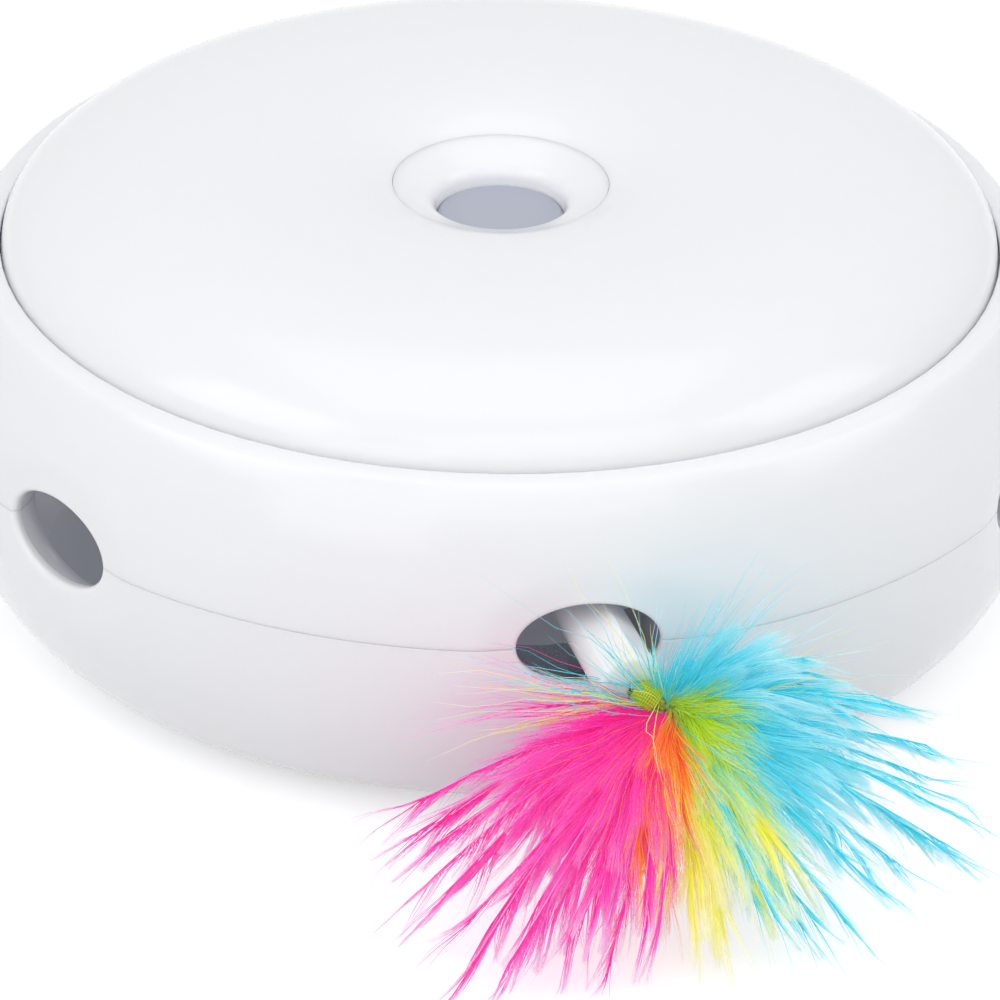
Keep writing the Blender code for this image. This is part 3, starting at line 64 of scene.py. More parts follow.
# Holes
HOLE_WIDTH, HOLE_HEIGHT = 11.1, 6.9
LIP_ROUND, DISH_DEPTH, DISH_REACH = 1.1, 0.75, 7.5
TUNNEL_FACE, TUNNEL_JOINT, TUNNEL_END = 88.0, 85.7, 81.0
FLARE_RADIUS, HOOD_WALL = 8.0, 1.4
# The widest oval round a hole, counted from its edge, and the border of its patch
PATCH_SPREAD, PATCH_HEIGHT, SECTOR = 8.0, 18.0, 60.0

# Top cover and button
COVER_RADIUS, COVER_EDGE, COVER_RISE, CROWN_RADIUS = 78.5, 24.3, 14.5, 42.0
COVER_TUCK = 0.18
FUNNEL_DROP, FUNNEL_POWER = 7.2, 3
BEZEL_RADIUS, LIP_RADIUS, BORE_RADIUS = 17.0, 11.6, 10.1
LIP_SLOPE, LIP_FALL = 22.6, 3.0
BEZEL_GAP, BEZEL_BOTTOM, BEZEL_NECK = 0.03, 27.2, 13.2
FLANGE_BOTTOM, FLANGE_TOP, FLANGE_RADIUS = 31.0, 32.2, 20.0
BUTTON_TOP, BUTTON_DISH, BUTTON_FLANGE, STEM_RADIUS = 29.55, 0.35, 11.7, 2.2
# The foot of the button's stem, and its flange's underside and top
BUTTON_LEVELS = (24.6, 25.5, 26.9)

# Wand: its pin, the way that it points, and reaches counted from the pin
PIN_REACH, PIN_AZIMUTH, WAND_AZIMUTH = 18.0, -16.0, 6.2
HOLDER_START, HOLDER_END = 53.3, 84.0
HOLDER_RADIUS, BINDING_RADIUS = 5.0, 1.8
FLATS = ((112, 0.86), (52, 0.88))
KNOT_REACH, KNOT_ACROSS, KNOT_RISE = 86.2, 5.0, -3.6
# From the casing's axis: where stray down begins to be drawn in
DOWN_AHEAD, DOWN_ASIDE = 127.0, 88.0

# Underside and inner bosses: places from above, and heights from the floor
FLOOR_TOP = 3.7
FEET = [(38.2, 38.2), (38.2, -38.2), (-38.2, 38.2), (-38.2, -38.2)]
FOOT_RECESS_RADIUS, FOOT_RECESS_TOP = 6.6, 2.3
DOOR_HALF_LENGTH, DOOR_START, DOOR_END = 27.5, 12.7, 57.4
DOOR_EAR_RADIUS, DOOR_SCREW, DOOR_GAP = 5.0, (0.0, 4.5), 0.12
PLATE_SCREWS = [(37.0, -8.0), (-37.0, -8.0), (20.0, -39.1), (-20.0, -39.1)]
COVER_SCREWS = [(47.7, 47.7), (47.7, -47.7), (-47.7, 47.7), (-47.7, -47.7)]
BOARD_SCREWS = [(20.8, -12.0), (0.0, 24.0), (-20.8, -12.0)]
PLATE_BOSS_RADIUS, PLATE_BOSS_TOP = 3.2, 21.3
MOTOR_POST, MOTOR_POST_RADIUS, MOTOR_POST_TOP = (0.0, -36.0), 1.6, 9.0
COVER_SCREW_BORE = 1.4
COVER_BOSS_RADIUS, COVER_BOSS = 2.7, (59.9, 69.3)
BOARD_BOSS_RADIUS, BOARD_BOSS = 2.6, (57.5, 71.8)
# Half the length of a battery cell with its ends
CELL_HALF_LENGTH = 27.4


def polar(radius, azimuth, height=0.0):
    angle = math.radians(azimuth)
    return Vector((radius * math.sin(angle), -radius * math.cos(angle), height))


def add_object(name, data):
    """A new object in the scene, at the origin."""
    made = bpy.data.objects.new(name, data)
    bpy.context.scene.collection.objects.link(made)
    return made


def mesh_piece(name, points, faces, paint, sharp=35.0):
    """A smooth-shaded mesh piece from points in millimetres."""
    mesh = bpy.data.meshes.new(name)
    mesh.from_pydata([tuple(np.asarray(point) * MM) for point in points], [], faces)
    held = bmesh.new()
    held.from_mesh(mesh)
    bmesh.ops.remove_doubles(held, verts=held.verts, dist=WELD)
    bmesh.ops.recalc_face_normals(held, faces=held.faces)
    held.to_mesh(mesh)
    held.free()
    mesh.shade_smooth()
    mesh.set_sharp_from_angle(angle=math.radians(sharp))
    if paint:
        mesh.materials.append(paint)
    return add_object(name, mesh)


def revolve(outline, steps, ring=False, centre=(0.0, 0.0)):
    """Points and faces of an outline of (radius, height), turned round an upright axis."""
    points, faces = [], []
    rows = len(outline)
    for step in range(steps):
        turn = math.tau * step / steps
        for radius, height in outline:
            points.append((centre[0] + radius * math.cos(turn),
                           centre[1] + radius * math.sin(turn), height))
    last = rows if ring else rows - 1
    for step in range(steps):
        here, following = step * rows, (step + 1) % steps * rows
        for row in range(last):
            above = (row + 1) % rows
            faces.append((here + row, following + row, following + above, here + above))
    return points, faces


def gather(*parts):
    """Several lists of points and faces as one."""
    points, faces = [], []
    for some_points, some_faces in parts:
        base = len(points)
        points += list(some_points)
        faces += [tuple(base + corner for corner in face) for face in some_faces]
    return points, faces


def post(radius, low, high, place, steps=20):
    """A closed upright post, with a small bevel at both ends."""
    bevel = min(0.2, radius / 4)
    return revolve([(0.001, low), (radius - bevel, low), (radius, low + bevel),
                    (radius, high - bevel), (radius - bevel, high), (0.001, high)],
                   steps, centre=place)


def side_radius(height, upper):
    """The casing's outer radius at a height above or a depth below the parting line."""
    if upper:
        reach, flat, rise = BODY_RADIUS - UPPER_CORNER_RADIUS, UPPER_CORNER_RADIUS, UPPER_RISE
    else:
        reach, flat, rise = BODY_RADIUS - LOWER_FLAT_RADIUS, LOWER_FLAT_RADIUS, LOWER_DEPTH
    return flat + reach * math.sqrt(max(0.0, 1 - (height / rise) ** 2))


def seam_inset(height):
    """How far the edge at the parting line is rounded back."""
    short = max(0.0, SEAM_ROUND - height)
    return SEAM_ROUND - math.sqrt(SEAM_ROUND ** 2 - short ** 2)


def dish_inset(spread):
    """How deep the soft dish round a hole is, a distance away from the hole's edge."""
    share = min(1.0, max(0.0, spread / DISH_REACH))
    return DISH_DEPTH * (1 - share * share * (3 - 2 * share))


def flare(depth):
    return max(0.0, depth) ** 2 / (2 * FLARE_RADIUS)


def hole_rings():
    """The section through a hole's edge, from the outer skin to the inner one: each entry is
    its distance from the oval, and either an inset from the skin or a radius from the axis."""
    rings = [("skin", spread, dish_inset(spread)) for spread in
             (PATCH_SPREAD, 7.2, 6.4, 5.6, 4.8, 4.0, 3.3, 2.7, 2.1, 1.6)]
    for step in range(7):
        angle = math.pi / 2 * step / 6
        rings.append(("skin", LIP_ROUND * (1 - math.sin(angle)),
                      dish_inset(LIP_ROUND) + LIP_ROUND * (1 - math.cos(angle))))
    joint = TUNNEL_JOINT
    rings += [("tube", 0.02, joint + 0.30), ("tube", 0.26, joint + 0.22),
              ("tube", 0.30, joint + 0.02), ("tube", flare(TUNNEL_FACE - joint), joint - 0.06)]
    count = 7
    for step in range(1, count + 1):
        reach = joint + (TUNNEL_END - joint) * step / count
        rings.append(("tube", flare(TUNNEL_FACE - reach), reach))
    for reach in (TUNNEL_END, 83.0, 85.0):
        rings.append(("tube", flare(TUNNEL_FACE - reach) + HOOD_WALL, reach))
    rings += [("skin", 2.0, WALL), ("skin", 4.0, WALL), ("skin", PATCH_SPREAD, WALL)]
    return rings


def half_turns(border):
    """The angles round half an oval that the border's points answer to."""
    oval_height = 9.0
    low = [math.asin(height / oval_height) for height in border]
    count = 30
    start = low[-1]
    middle = [start + (math.pi - 2 * start) * step / count for step in range(1, count)]
    return low + middle + [math.pi - angle for angle in reversed(low)]


def sector_patch(azimuth, upper):
    """One sixth of a shell round one hole, from the parting line to PATCH_HEIGHT."""
    seam_rows = (0.0, 0.05, 0.14, 0.5)
    angles = half_turns(seam_rows)
    side = 11
    sides = list(seam_rows) + [0.5 + (PATCH_HEIGHT - 0.5) * step / (side - 3)
                               for step in range(1, side - 2)]
    across = len(angles) - 2 * len(sides)
    half = SECTOR / 2
    border = [(half, height) for height in sides]
    border += [(half - SECTOR * step / (across + 1), PATCH_HEIGHT)
               for step in range(1, across + 1)]
    border += [(-half, height) for height in reversed(sides)]
    sign = 1 if upper else -1

    def skin_point(turn, height, inset):
        radius = side_radius(height, upper) - inset
        return polar(radius, azimuth + turn, MID + sign * (SEAM_GAP / 2 + height))

    def ring_points(kind, spread, measure):
        points = []
        for angle in angles:
            x = (HOLE_WIDTH + spread) * math.cos(angle)
            height = (HOLE_HEIGHT + spread) * math.sin(angle)
            if kind == "skin":
                inset = measure + (seam_inset(height) if measure < WALL else 0.0)
                radius = side_radius(height, upper)
                turn = math.degrees(math.asin(x / (radius - inset)))
                points.append(skin_point(turn, height, inset))
            else:
                turned = Matrix.Rotation(math.radians(azimuth), 3, "Z")
                points.append(turned @ Vector((x, -measure, MID + sign * (SEAM_GAP / 2
                                                                          + height))))
        return points

    def blend_rows(inset, count, outwards):
        """Rows between the widest oval and the patch's border."""
        rows = []
        oval = []
        for angle in angles:
            height = (HOLE_HEIGHT + PATCH_SPREAD) * math.sin(angle)
            x = (HOLE_WIDTH + PATCH_SPREAD) * math.cos(angle)
            oval.append((math.degrees(math.asin(x / side_radius(height, upper))), height))
        for step in range(1, count + 1):
            share = step / count
            row = []
            for (turn, height), (edge_turn, edge_height) in zip(oval, border):
                now = height + (edge_height - height) * share
                more = seam_inset(now) if inset < WALL else 0.0
                row.append(skin_point(turn + (edge_turn - turn) * share, now, inset + more))
            rows.append(row)
        return rows if outwards else rows[::-1]

    rows = blend_rows(0.0, 8, False)
    rows += [ring_points(*ring) for ring in hole_rings()]
    rows += blend_rows(WALL, 3, True)
    points = [point for row in rows for point in row]
    width = len(angles)
    faces = []
    for row in range(len(rows) - 1):
        for place in range(width - 1):
            here = row * width + place
            faces.append((here, here + 1, here + width + 1, here + width))
    for place in (0, width - 1):
        faces.append(tuple(row * width + place for row in range(len(rows))))
    top = [turn for turn, height in border if height == PATCH_HEIGHT]
    return points, faces, top


def ring_wall(outline, turns):
    """An outline carried round the casing through the azimuths that the patches end on."""
    points = [polar(radius, turn, MID + height) for turn in turns for radius, height in outline]
    rows = len(outline)
    faces = []
    for step in range(len(turns)):
        here, following = step * rows, (step + 1) % len(turns) * rows
        for row in range(rows - 1):
            faces.append((here + row, following + row, following + row + 1, here + row + 1))
    return points, faces


def side_curve(start, end, upper, inset, count):
    """Points of the side's section between two heights."""
    sign = 1 if upper else -1
    depth = UPPER_RISE if upper else LOWER_DEPTH
    first, last = math.asin(start / depth), math.asin(min(1.0, end / depth))
    curve = []
    for step in range(count + 1):
        height = depth * math.sin(first + (last - first) * step / count)
        curve.append((side_radius(height, upper) - inset, sign * (SEAM_GAP / 2 + height)))
    return curve


def arc(centre, radius, start, end, count):
    """Points of an arc in a section, between two angles in degrees."""
    points = []
    for step in range(count + 1):
        angle = math.radians(start + (end - start) * step / count)
        points.append((centre[0] + radius * math.cos(angle), centre[1] + radius * math.sin(angle)))
    return points


def shell_body(outline, upper):
    """A shell: six patches round the holes, and an outline carried round on their borders."""
    patches = [sector_patch(SECTOR * number, upper) for number in range(6)]
    turns = sorted({round((SECTOR * number + turn) % 360, 6)
                    for number, patch in enumerate(patches) for turn in patch[2]})
    return gather(*[patch[:2] for patch in patches], ring_wall(outline, turns))


def make_upper_shell(paint):
    """The side ring: soft dishes round the holes, a rolled rim and the cover's ledge."""
    outline = side_curve(PATCH_HEIGHT, SHOULDER, True, 0.0, 6)
    for step in range(1, 9):
        angle = math.radians(ROLL_START + (90 - ROLL_START) * step / 8)
        outline.append((RIM_BORE + RIM_ROUND + ROLL_WIDTH * math.cos(angle),
                        RIM_TOP - ROLL_RISE + ROLL_RISE * math.sin(angle)))
    outline += arc((RIM_BORE + RIM_ROUND, RIM_TOP - RIM_ROUND), RIM_ROUND, 90, 180, 5)[1:]
    outline += [(RIM_BORE, LEDGE_TOP), (LEDGE_INNER, LEDGE_TOP),
                (LEDGE_INNER, LEDGE_TOP - WALL)]
    outline += side_curve(PATCH_HEIGHT, LEDGE_TOP - WALL, True, WALL, 3)[::-1]
    piece = mesh_piece("side_ring", *shell_body(outline, True), paint)
    bores = [post(COVER_SCREW_BORE, MID + 18, MID + 26, place, 24) for place in COVER_SCREWS]
    cut_away(piece, gather(*bores), 32.0)
    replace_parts(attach(piece, "casing"), "upper_shell")


def make_lower_shell(paint):
    """The bowl, with its bosses inside and the openings of the door and feet underneath."""
    floor = -LOWER_DEPTH - SEAM_GAP / 2
    outline = side_curve(PATCH_HEIGHT, LOWER_DEPTH, False, 0.0, 16)
    outline += [(40.0, floor), (0.01, floor), (0.01, floor + WALL), (40.0, floor + WALL)]
    outline += side_curve(PATCH_HEIGHT, LOWER_DEPTH - WALL, False, WALL, 8)[::-1]
    piece = mesh_piece("base_bowl", *shell_body(outline, False), paint)
    holes = [post(FOOT_RECESS_RADIUS, 0.5, FOOT_RECESS_TOP, place, 48) for place in FEET]
    holes.append(door_block(DOOR_GAP, 0.5, FLOOR_TOP + 0.5))
    cut_away(piece, gather(*holes), 30.0)
    bosses = [post(PLATE_BOSS_RADIUS, FLOOR_TOP - 0.3, PLATE_BOSS_TOP, place, 32)
              for place in PLATE_SCREWS]
    bosses += [post(MOTOR_POST_RADIUS, FLOOR_TOP - 0.3, MOTOR_POST_TOP, MOTOR_POST, 24)]
    add_inside(piece, gather(*bosses))
    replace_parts(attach(piece, "casing"), "lower_shell")


def door_block(gap, low, high):
    """The battery door's outline with its ear, grown by a gap, as an upright block."""
    half, ear = DOOR_HALF_LENGTH + gap, DOOR_EAR_RADIUS + gap
    edge = [(half, DOOR_START - gap), (half, DOOR_END + gap), (-half, DOOR_END + gap),
            (-half, DOOR_START - gap), (-ear, DOOR_START - gap)]
    edge += arc(DOOR_SCREW, ear, 180, 360, 24)
    edge.append((ear, DOOR_START - gap))
    count = len(edge)
    points = [(*place, level) for level in (low, high) for place in edge]
    faces = [tuple(range(count))[::-1], tuple(range(count, 2 * count))]
    faces += [(step, (step + 1) % count, count + (step + 1) % count, count + step)
              for step in range(count)]
    return points, faces


def cut_away(piece, shape, sharp):
    """Cuts closed shapes out of a piece."""
    knife = mesh_piece("knife", *shape, None)
    step = piece.modifiers.new("cut", "BOOLEAN")
    step.operation, step.object, step.solver = "DIFFERENCE", knife, "EXACT"
    seen = piece.evaluated_get(bpy.context.evaluated_depsgraph_get())
    mesh = bpy.data.meshes.new_from_object(seen)
    piece.modifiers.remove(step)
    mesh.name, piece.data = piece.name, mesh
    mesh.set_sharp_from_angle(angle=math.radians(sharp))
    bpy.data.objects.remove(knife)


def add_inside(piece, shape):
    """Adds closed inner shapes, such as bosses, to a piece."""
    held = bmesh.new()
    held.from_mesh(piece.data)
    inner = mesh_piece("inner", *shape, None)
    held.from_mesh(inner.data)
    held.to_mesh(piece.data)
    held.free()
    bpy.data.objects.remove(inner)
    piece.data.set_sharp_from_angle(angle=math.radians(32))


def funnel_height(radius):
    share = (radius - LIP_RADIUS) / (CROWN_RADIUS - LIP_RADIUS)
    return COVER_EDGE + COVER_RISE - FUNNEL_DROP * (1 - share) ** FUNNEL_POWER


def make_top_cover(paint):
    """The domed disc, with a fine round edge and a funnel down to the bezel."""
    bottom, funnel_foot = LEDGE_TOP + 0.3, BEZEL_RADIUS + BEZEL_GAP
    outline = [(COVER_RADIUS - 2.2, bottom), (COVER_RADIUS, bottom),
               (COVER_RADIUS, COVER_EDGE - 0.4)]
    reach = COVER_RADIUS - CROWN_RADIUS
    for step in range(40):
        angle = math.radians(4 + 86 * step / 39)
        tuck = COVER_TUCK * math.exp(-step / 2)
        outline.append((CROWN_RADIUS + reach * math.cos(angle) - tuck,
                        COVER_EDGE + COVER_RISE * math.sin(angle)))
    for step in range(1, 31):
        radius = CROWN_RADIUS + (funnel_foot - CROWN_RADIUS) * step / 30
        outline.append((radius, funnel_height(radius)))
    inner = [(radius, height - WALL) for radius, height in outline[3:]]
    outline += inner[::-1]
    outline = [(max(radius, funnel_foot), MID + height) for radius, height in outline]
    piece = mesh_piece("domed_cover", *revolve(outline, 240, ring=True), paint)
    bosses = [post(COVER_BOSS_RADIUS, *COVER_BOSS, place, 32) for place in COVER_SCREWS]
    bosses += [post(BOARD_BOSS_RADIUS, *BOARD_BOSS, place, 32) for place in BOARD_SCREWS]
    add_inside(piece, gather(*bosses))
    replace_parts(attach(piece, "casing"), "top_cover")


def make_bezel(paint):
    """The insert round the button: it carries the funnel on and rolls over into the bore."""
    rim = BEZEL_RADIUS - 0.01
    top = funnel_height(BEZEL_RADIUS)
    outline = [(rim, top - 1.5), (rim, top - 0.05), (BEZEL_RADIUS - 0.06, top)]
    middle = BORE_RADIUS + 0.1 + LIP_FALL
    turned = middle - LIP_FALL * math.sin(math.radians(LIP_SLOPE))
    fall = (BEZEL_RADIUS - turned) * math.tan(math.radians(LIP_SLOPE))
    for step in range(1, 6):
        outline.append((BEZEL_RADIUS + (turned - BEZEL_RADIUS) * step / 6, top - fall * step / 6))
    level = top - fall - LIP_FALL * math.cos(math.radians(LIP_SLOPE))
    outline += arc((middle, level), LIP_FALL, 90 + LIP_SLOPE, 180, 14)
    outline += [(BORE_RADIUS, level - 0.3), (BORE_RADIUS, BEZEL_BOTTOM),
                (BEZEL_NECK, BEZEL_BOTTOM), (BEZEL_NECK, FLANGE_BOTTOM),
                (FLANGE_RADIUS, FLANGE_BOTTOM), (FLANGE_RADIUS, FLANGE_TOP), (rim, FLANGE_TOP)]
    outline = [(radius, MID + level) for radius, level in outline]
    piece = mesh_piece("button_surround", *revolve(outline, 192, ring=True), paint)
    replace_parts(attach(piece, "casing"), "button_bezel")


def make_button(paint):
    """The grey button cap: a shallow dish with a soft edge, on a flange and a stem."""
    top, radius = BUTTON_TOP, BORE_RADIUS - 0.15
    low, seat, shelf = BUTTON_LEVELS
    outline = [(0.005, low), (STEM_RADIUS, low), (STEM_RADIUS, seat), (BUTTON_FLANGE, seat),
               (BUTTON_FLANGE, shelf), (radius, shelf)]
    outline += arc((radius - 0.7, top - 0.7), 0.7, 0, 90, 6)
    for step in range(1, 13):
        share = 1 - step / 12
        outline.append((max(0.005, (radius - 0.7) * share),
                        top - BUTTON_DISH * (1 - share ** 2)))
    outline = [(reach, MID + level) for reach, level in outline]
    piece = mesh_piece("button_cap", *revolve(outline, 128), paint)
    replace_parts(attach(piece, "button"), "power_button")


def linear(hex_colour):
    """An sRGB hex colour as the linear values that Blender's sockets hold."""
    channels = [int(hex_colour[place:place + 2], 16) / 255 for place in (0, 2, 4)]
    return (*(c / 12.92 if c <= 0.04045 else ((c + 0.055) / 1.055) ** 2.4 for c in channels), 1.0)


def add_node(tree, kind, settings=None, **links):
    """A node with its settings, and its inputs set or linked by name."""
    node = tree.nodes.new(kind)
    for name, value in (settings or {}).items():
        setattr(node, name, value)
    for name, value in links.items():
        socket = node.inputs[int(name[1:]) if name[1:].isdigit() else name.replace("_", " ")]
        if isinstance(value, bpy.types.NodeSocket):
            tree.links.new(value, socket)
        else:
            socket.default_value = value
    return node


def maths(tree, operation, first, second):
    return add_node(tree, "ShaderNodeMath", {"operation": operation}, i0=first,
                    i1=second).outputs[0]


def product(tree, first, *others):
    """Values multiplied in turn."""
    for other in others:
        first = maths(tree, "MULTIPLY", first, other)
    return first


def vector(tree, operation, *values):
    """What a Vector Math node makes: a number from a dot product or a length, else a vector."""
    node = add_node(tree, "ShaderNodeVectorMath", {"operation": operation},
                    **{f"i{place}": value for place, value in enumerate(values)})
    return node.outputs["Value" if operation in ("DOT_PRODUCT", "LENGTH") else "Vector"]


def scaled(tree, given, factor):
    return add_node(tree, "ShaderNodeVectorMath", {"operation": "SCALE"}, i0=given,
                    Scale=factor).outputs[0]


def ranged(tree, value, first, last, low=0.0, high=1.0):
    """A number that goes from first to last while the value goes from low to high."""
    return add_node(tree, "ShaderNodeMapRange", Value=value, i1=low, i2=high, i3=first,
                    i4=last).outputs[0]


def noise(tree, place, size_mm, detail, **more):
    return add_node(tree, "ShaderNodeTexNoise", Vector=place, Scale=1 / (size_mm * MM),
                    Detail=detail, **more)


def spots(tree):
    """The places on a piece that a pattern is laid out by."""
    return add_node(tree, "ShaderNodeTexCoord").outputs["Object"]


def attribute(tree, name):
    return add_node(tree, "ShaderNodeAttribute", {"attribute_name": name}).outputs["Fac"]


def colour_ramp(tree, factor, *stops, kind="LINEAR"):
    """A colour that runs through stops of a place and an sRGB hex colour."""
    node = add_node(tree, "ShaderNodeValToRGB", Fac=factor)
    node.color_ramp.interpolation = kind
    steps = node.color_ramp.elements
    for step, (place, colour) in zip(steps, (stops[0], stops[-1])):
        step.position, step.color = place, linear(colour)
    for place, colour in stops[1:-1]:
        steps.new(place).color = linear(colour)
    return node.outputs["Color"]


def toned(tree, shader, shade, colour, **more):
    """Gives the shader a colour whose brightness is scaled by a shade."""
    tone = add_node(tree, "ShaderNodeHueSaturation", Value=shade, Color=colour, **more)
    tree.links.new(tone.outputs["Color"], shader.inputs["Base Color"])
    return tone.outputs["Color"]


def raised(tree, shader, height, strength, depth_mm):
    """Gives the shader a fine relief."""
    bump = add_node(tree, "ShaderNodeBump", Height=height, Strength=strength,
                    Distance=depth_mm * MM)
    tree.links.new(bump.outputs["Normal"], shader.inputs["Normal"])


def finish(name, base, roughness, **settings):
    """A Principled material with its plain settings; returns it with its tree and shader."""
    made = bpy.data.materials.new(name)
    made.use_nodes = True
    shader = made.node_tree.nodes["Principled BSDF"]
    shader.inputs["Base Color"].default_value = linear(base)
    shader.inputs["Roughness"].default_value = roughness
    for socket, value in settings.items():
        shader.inputs[socket.replace("_", " ")].default_value = value
    return made, made.node_tree, shader


def moulded(name, base, roughness, grain_mm, depth_mm, **settings):
    """Moulded plastic: a fine skin whose gloss and level waver a little."""
    made, tree, shader = finish(name, base, roughness, **settings)
    place = spots(tree)
    grain = noise(tree, place, grain_mm, 3.0, Roughness=0.55)
    wander = noise(tree, place, 30, 2.0)
    gloss = ranged(tree, wander.outputs["Fac"], roughness * 0.85, roughness * 1.2, 0.3, 0.7)
    tree.links.new(gloss, shader.inputs["Roughness"])
    raised(tree, shader, grain.outputs["Fac"], 0.6, depth_mm)
    return made


def painted_inner_glow(made, strength):
    """A painted glow on the inner side of the shells. It stands in for the little daylight that a
    thin white wall lets through, so that the inside, seen in the holes, is never quite dark."""
    tree = made.node_tree
    place = add_node(tree, "ShaderNodeTexCoord").outputs
    spot = add_node(tree, "ShaderNodeSeparateXYZ", Vector=place["Object"]).outputs
    way = add_node(tree, "ShaderNodeSeparateXYZ", Vector=place["Normal"]).outputs
    level = add_node(tree, "ShaderNodeCombineXYZ", X=spot["X"], Y=spot["Y"]).outputs[0]
    facing = vector(tree, "DOT_PRODUCT", vector(tree, "NORMALIZE", level), place["Normal"])
    # Painted light: inward-facing walls below the cover, and the upward-facing floor near the
    # outer wall, glow a little
    wall = product(tree, ranged(tree, facing, 1.0, 0.0, -0.6, -0.1),
                   ranged(tree, spot["Z"], 1.0, 0.0, 55 * MM, 57 * MM))
    ground = product(tree, ranged(tree, way["Z"], 0.0, 1.0, 0.3, 0.8),
                     ranged(tree, spot["Z"], 1.0, 0.0, 8 * MM, 12 * MM),
                     ranged(tree, vector(tree, "LENGTH", level), 0.0, 1.0, 54 * MM, 62 * MM))
    glow = product(tree, maths(tree, "MAXIMUM", wall, ground), strength)
    shader = tree.nodes["Principled BSDF"]
    # The painted glow is a faint cool white
    shader.inputs["Emission Color"].default_value = (0.86, 0.88, 1.0, 1.0)
    tree.links.new(glow, shader.inputs["Emission Strength"])
    return made


def dyed_down_with_painted_glow(name, *colours):
    """Barbs whose colour runs from root to tip by their own attribute, a little unlike each
    other, and which give out a faint painted glow in that same colour."""
    # Emission_Strength is a painted glow: the barbs give out light of their own colour, lifting
    # the shade where they hide each other
    made, tree, shader = finish(name, colours[1], 0.72, IOR=1.45, Sheen_Weight=0.25,
                                Sheen_Roughness=0.5, Emission_Strength=0.19)
    # The ramp pales towards the tips: partly the down's own colour, partly painted light shining
    # through the thin tips
    dye = colour_ramp(tree, attribute(tree, "dye"), *zip((0.0, 0.26, 0.60, 0.95), colours))
    tint = attribute(tree, "tint")
    varied = toned(tree, shader, ranged(tree, tint, 0.86, 1.14), dye,
                   Hue=ranged(tree, tint, 0.486, 0.514))
    # The same colour drives the painted glow
    tree.links.new(varied, shader.inputs["Emission Color"])
    return made


def wound_thread(name, colour):
    """Thread whose plies show as fine slanting ridges, with painted shade in the grooves between
    them.
    """
    made, tree, shader = finish(name, colour, 0.55, IOR=1.53, Sheen_Weight=0.3)
    plies = add_node(tree, "ShaderNodeTexWave", {"bands_direction": "DIAGONAL"},
                     Vector=spots(tree), Scale=1 / (1.2 * MM), Distortion=1.5).outputs["Fac"]
    # Painted shade: the colour darkens where the ridges dip, in step with the relief
    toned(tree, shader, ranged(tree, plies, 0.75, 1.1), linear(colour))
    raised(tree, shader, plies, 0.5, 0.05)
    return made


def dyed_quill(name, colour):
    """Horn that took the dye in patches."""
    made, tree, shader = finish(name, colour, 0.40, IOR=1.55)
    patches = noise(tree, spots(tree), 0.9, 2.0)
    dye = colour_ramp(tree, patches.outputs["Fac"], (0.35, "2E5F6B"), (0.48, "8FA83A"),
                      (0.65, colour))
    tree.links.new(dye, shader.inputs["Base Color"])
    return made


def make_finishes():
    return {
        # Injection moulded ABS from a polished tool: near-mirror gloss with a faint wave
        # Its inner side carries a painted glow that stands in for light let through the thin wall
        "gloss_abs": painted_inner_glow(moulded("moulded_gloss_abs", "F6F7FA", 0.16, 14, 0.02, IOR=1.53,
                                          Subsurface_Weight=0.6, Subsurface_Scale=1.3 * MM,
                                          Subsurface_Radius=(1.0, 1.0, 1.1)), 0.07),
        # The same plastic from a lightly textured tool
        "plain_abs": moulded("moulded_plain_abs", "F0F1F4", 0.45, 0.6, 0.02, IOR=1.53),
        # Frosted styrene cap over a lamp
        "lens": moulded("frosted_grey_styrene", "AEB2C0", 0.30, 0.8, 0.01, IOR=1.58),
        # Dyed marabou: soft down with no gloss, strongest in colour where the dye pools at the
        # quill and paler at the fine tips; a painted glow in the dye's own colour lifts the shade
        # between the barbs
        "pink": dyed_down_with_painted_glow("pink_marabou", "F81098", "FF2AB8", "FF66D4", "FACCF0"),
        "orange": dyed_down_with_painted_glow("orange_marabou", "F0442E", "FF7E26", "FFA646", "FFD2A0"),
        "yellow": dyed_down_with_painted_glow("yellow_marabou", "CCD830", "F4EE44", "FBF67C", "FDFBCC"),
        "lime": dyed_down_with_painted_glow("lime_marabou", "7FB52A", "B8DC22", "D8EA30", "F0F28A"),
        "aqua": dyed_down_with_painted_glow("aqua_marabou", "1AC2D8", "3ADCEE", "88EAF6", "D4F8FD"),
        # Twisted nylon thread: soft shine, with the twist just visible
        "thread": wound_thread("lime_nylon_thread", "B4CF1E"),
        # Feather quill: pale horn, dyed unevenly
        "quill": dyed_quill("dyed_horn_quill", "C9C65A"),
        # Moulded acetal, unpainted: waxy ivory with a faint flow pattern
        "acetal": moulded("moulded_acetal", "EAE3CC", 0.38, 3, 0.02, IOR=1.48),
        # Textured dark ABS, with a fine even grain
        "dark_abs": moulded("textured_dark_abs", "36383C", 0.55, 0.5, 0.05, IOR=1.53),
        # Silicone-soft rubber: matt and slightly dusty
        "rubber": moulded("moulded_grey_rubber", "6C6E73", 0.80, 0.7, 0.06, IOR=1.50),
        # Soft PVC over fine wire
        "pvc": moulded("extruded_black_pvc", "26272A", 0.42, 1.5, 0.02, IOR=1.53),
        # Zinc plated steel: bright grey with fine turning marks
        "zinc": plated("zinc_plated_steel", "B4B8BE", 0.30),
        # Nickel plated spring strip: warmer and brighter than zinc
        "nickel": plated("nickel_plated_spring", "CFC8B2", 0.22),
        # Glass fibre board: green lacquer over copper tracks
        "board": tracked_board("lacquered_glass_fibre", "1B6A38", "2C8A4B"),
        # Shrunk film over a steel can, printed in two plain colours
        "cell": banded_cell("shrink_sleeved_cell", "2A6FB5", "B9BCC0", "C9CDD4"),
        # Clear cast resin: the lamp's lens
        "resin": moulded("clear_cast_resin", "DDF1FA", 0.08, 2, 0.01, IOR=1.52,
                         Transmission_Weight=0.85),
    }


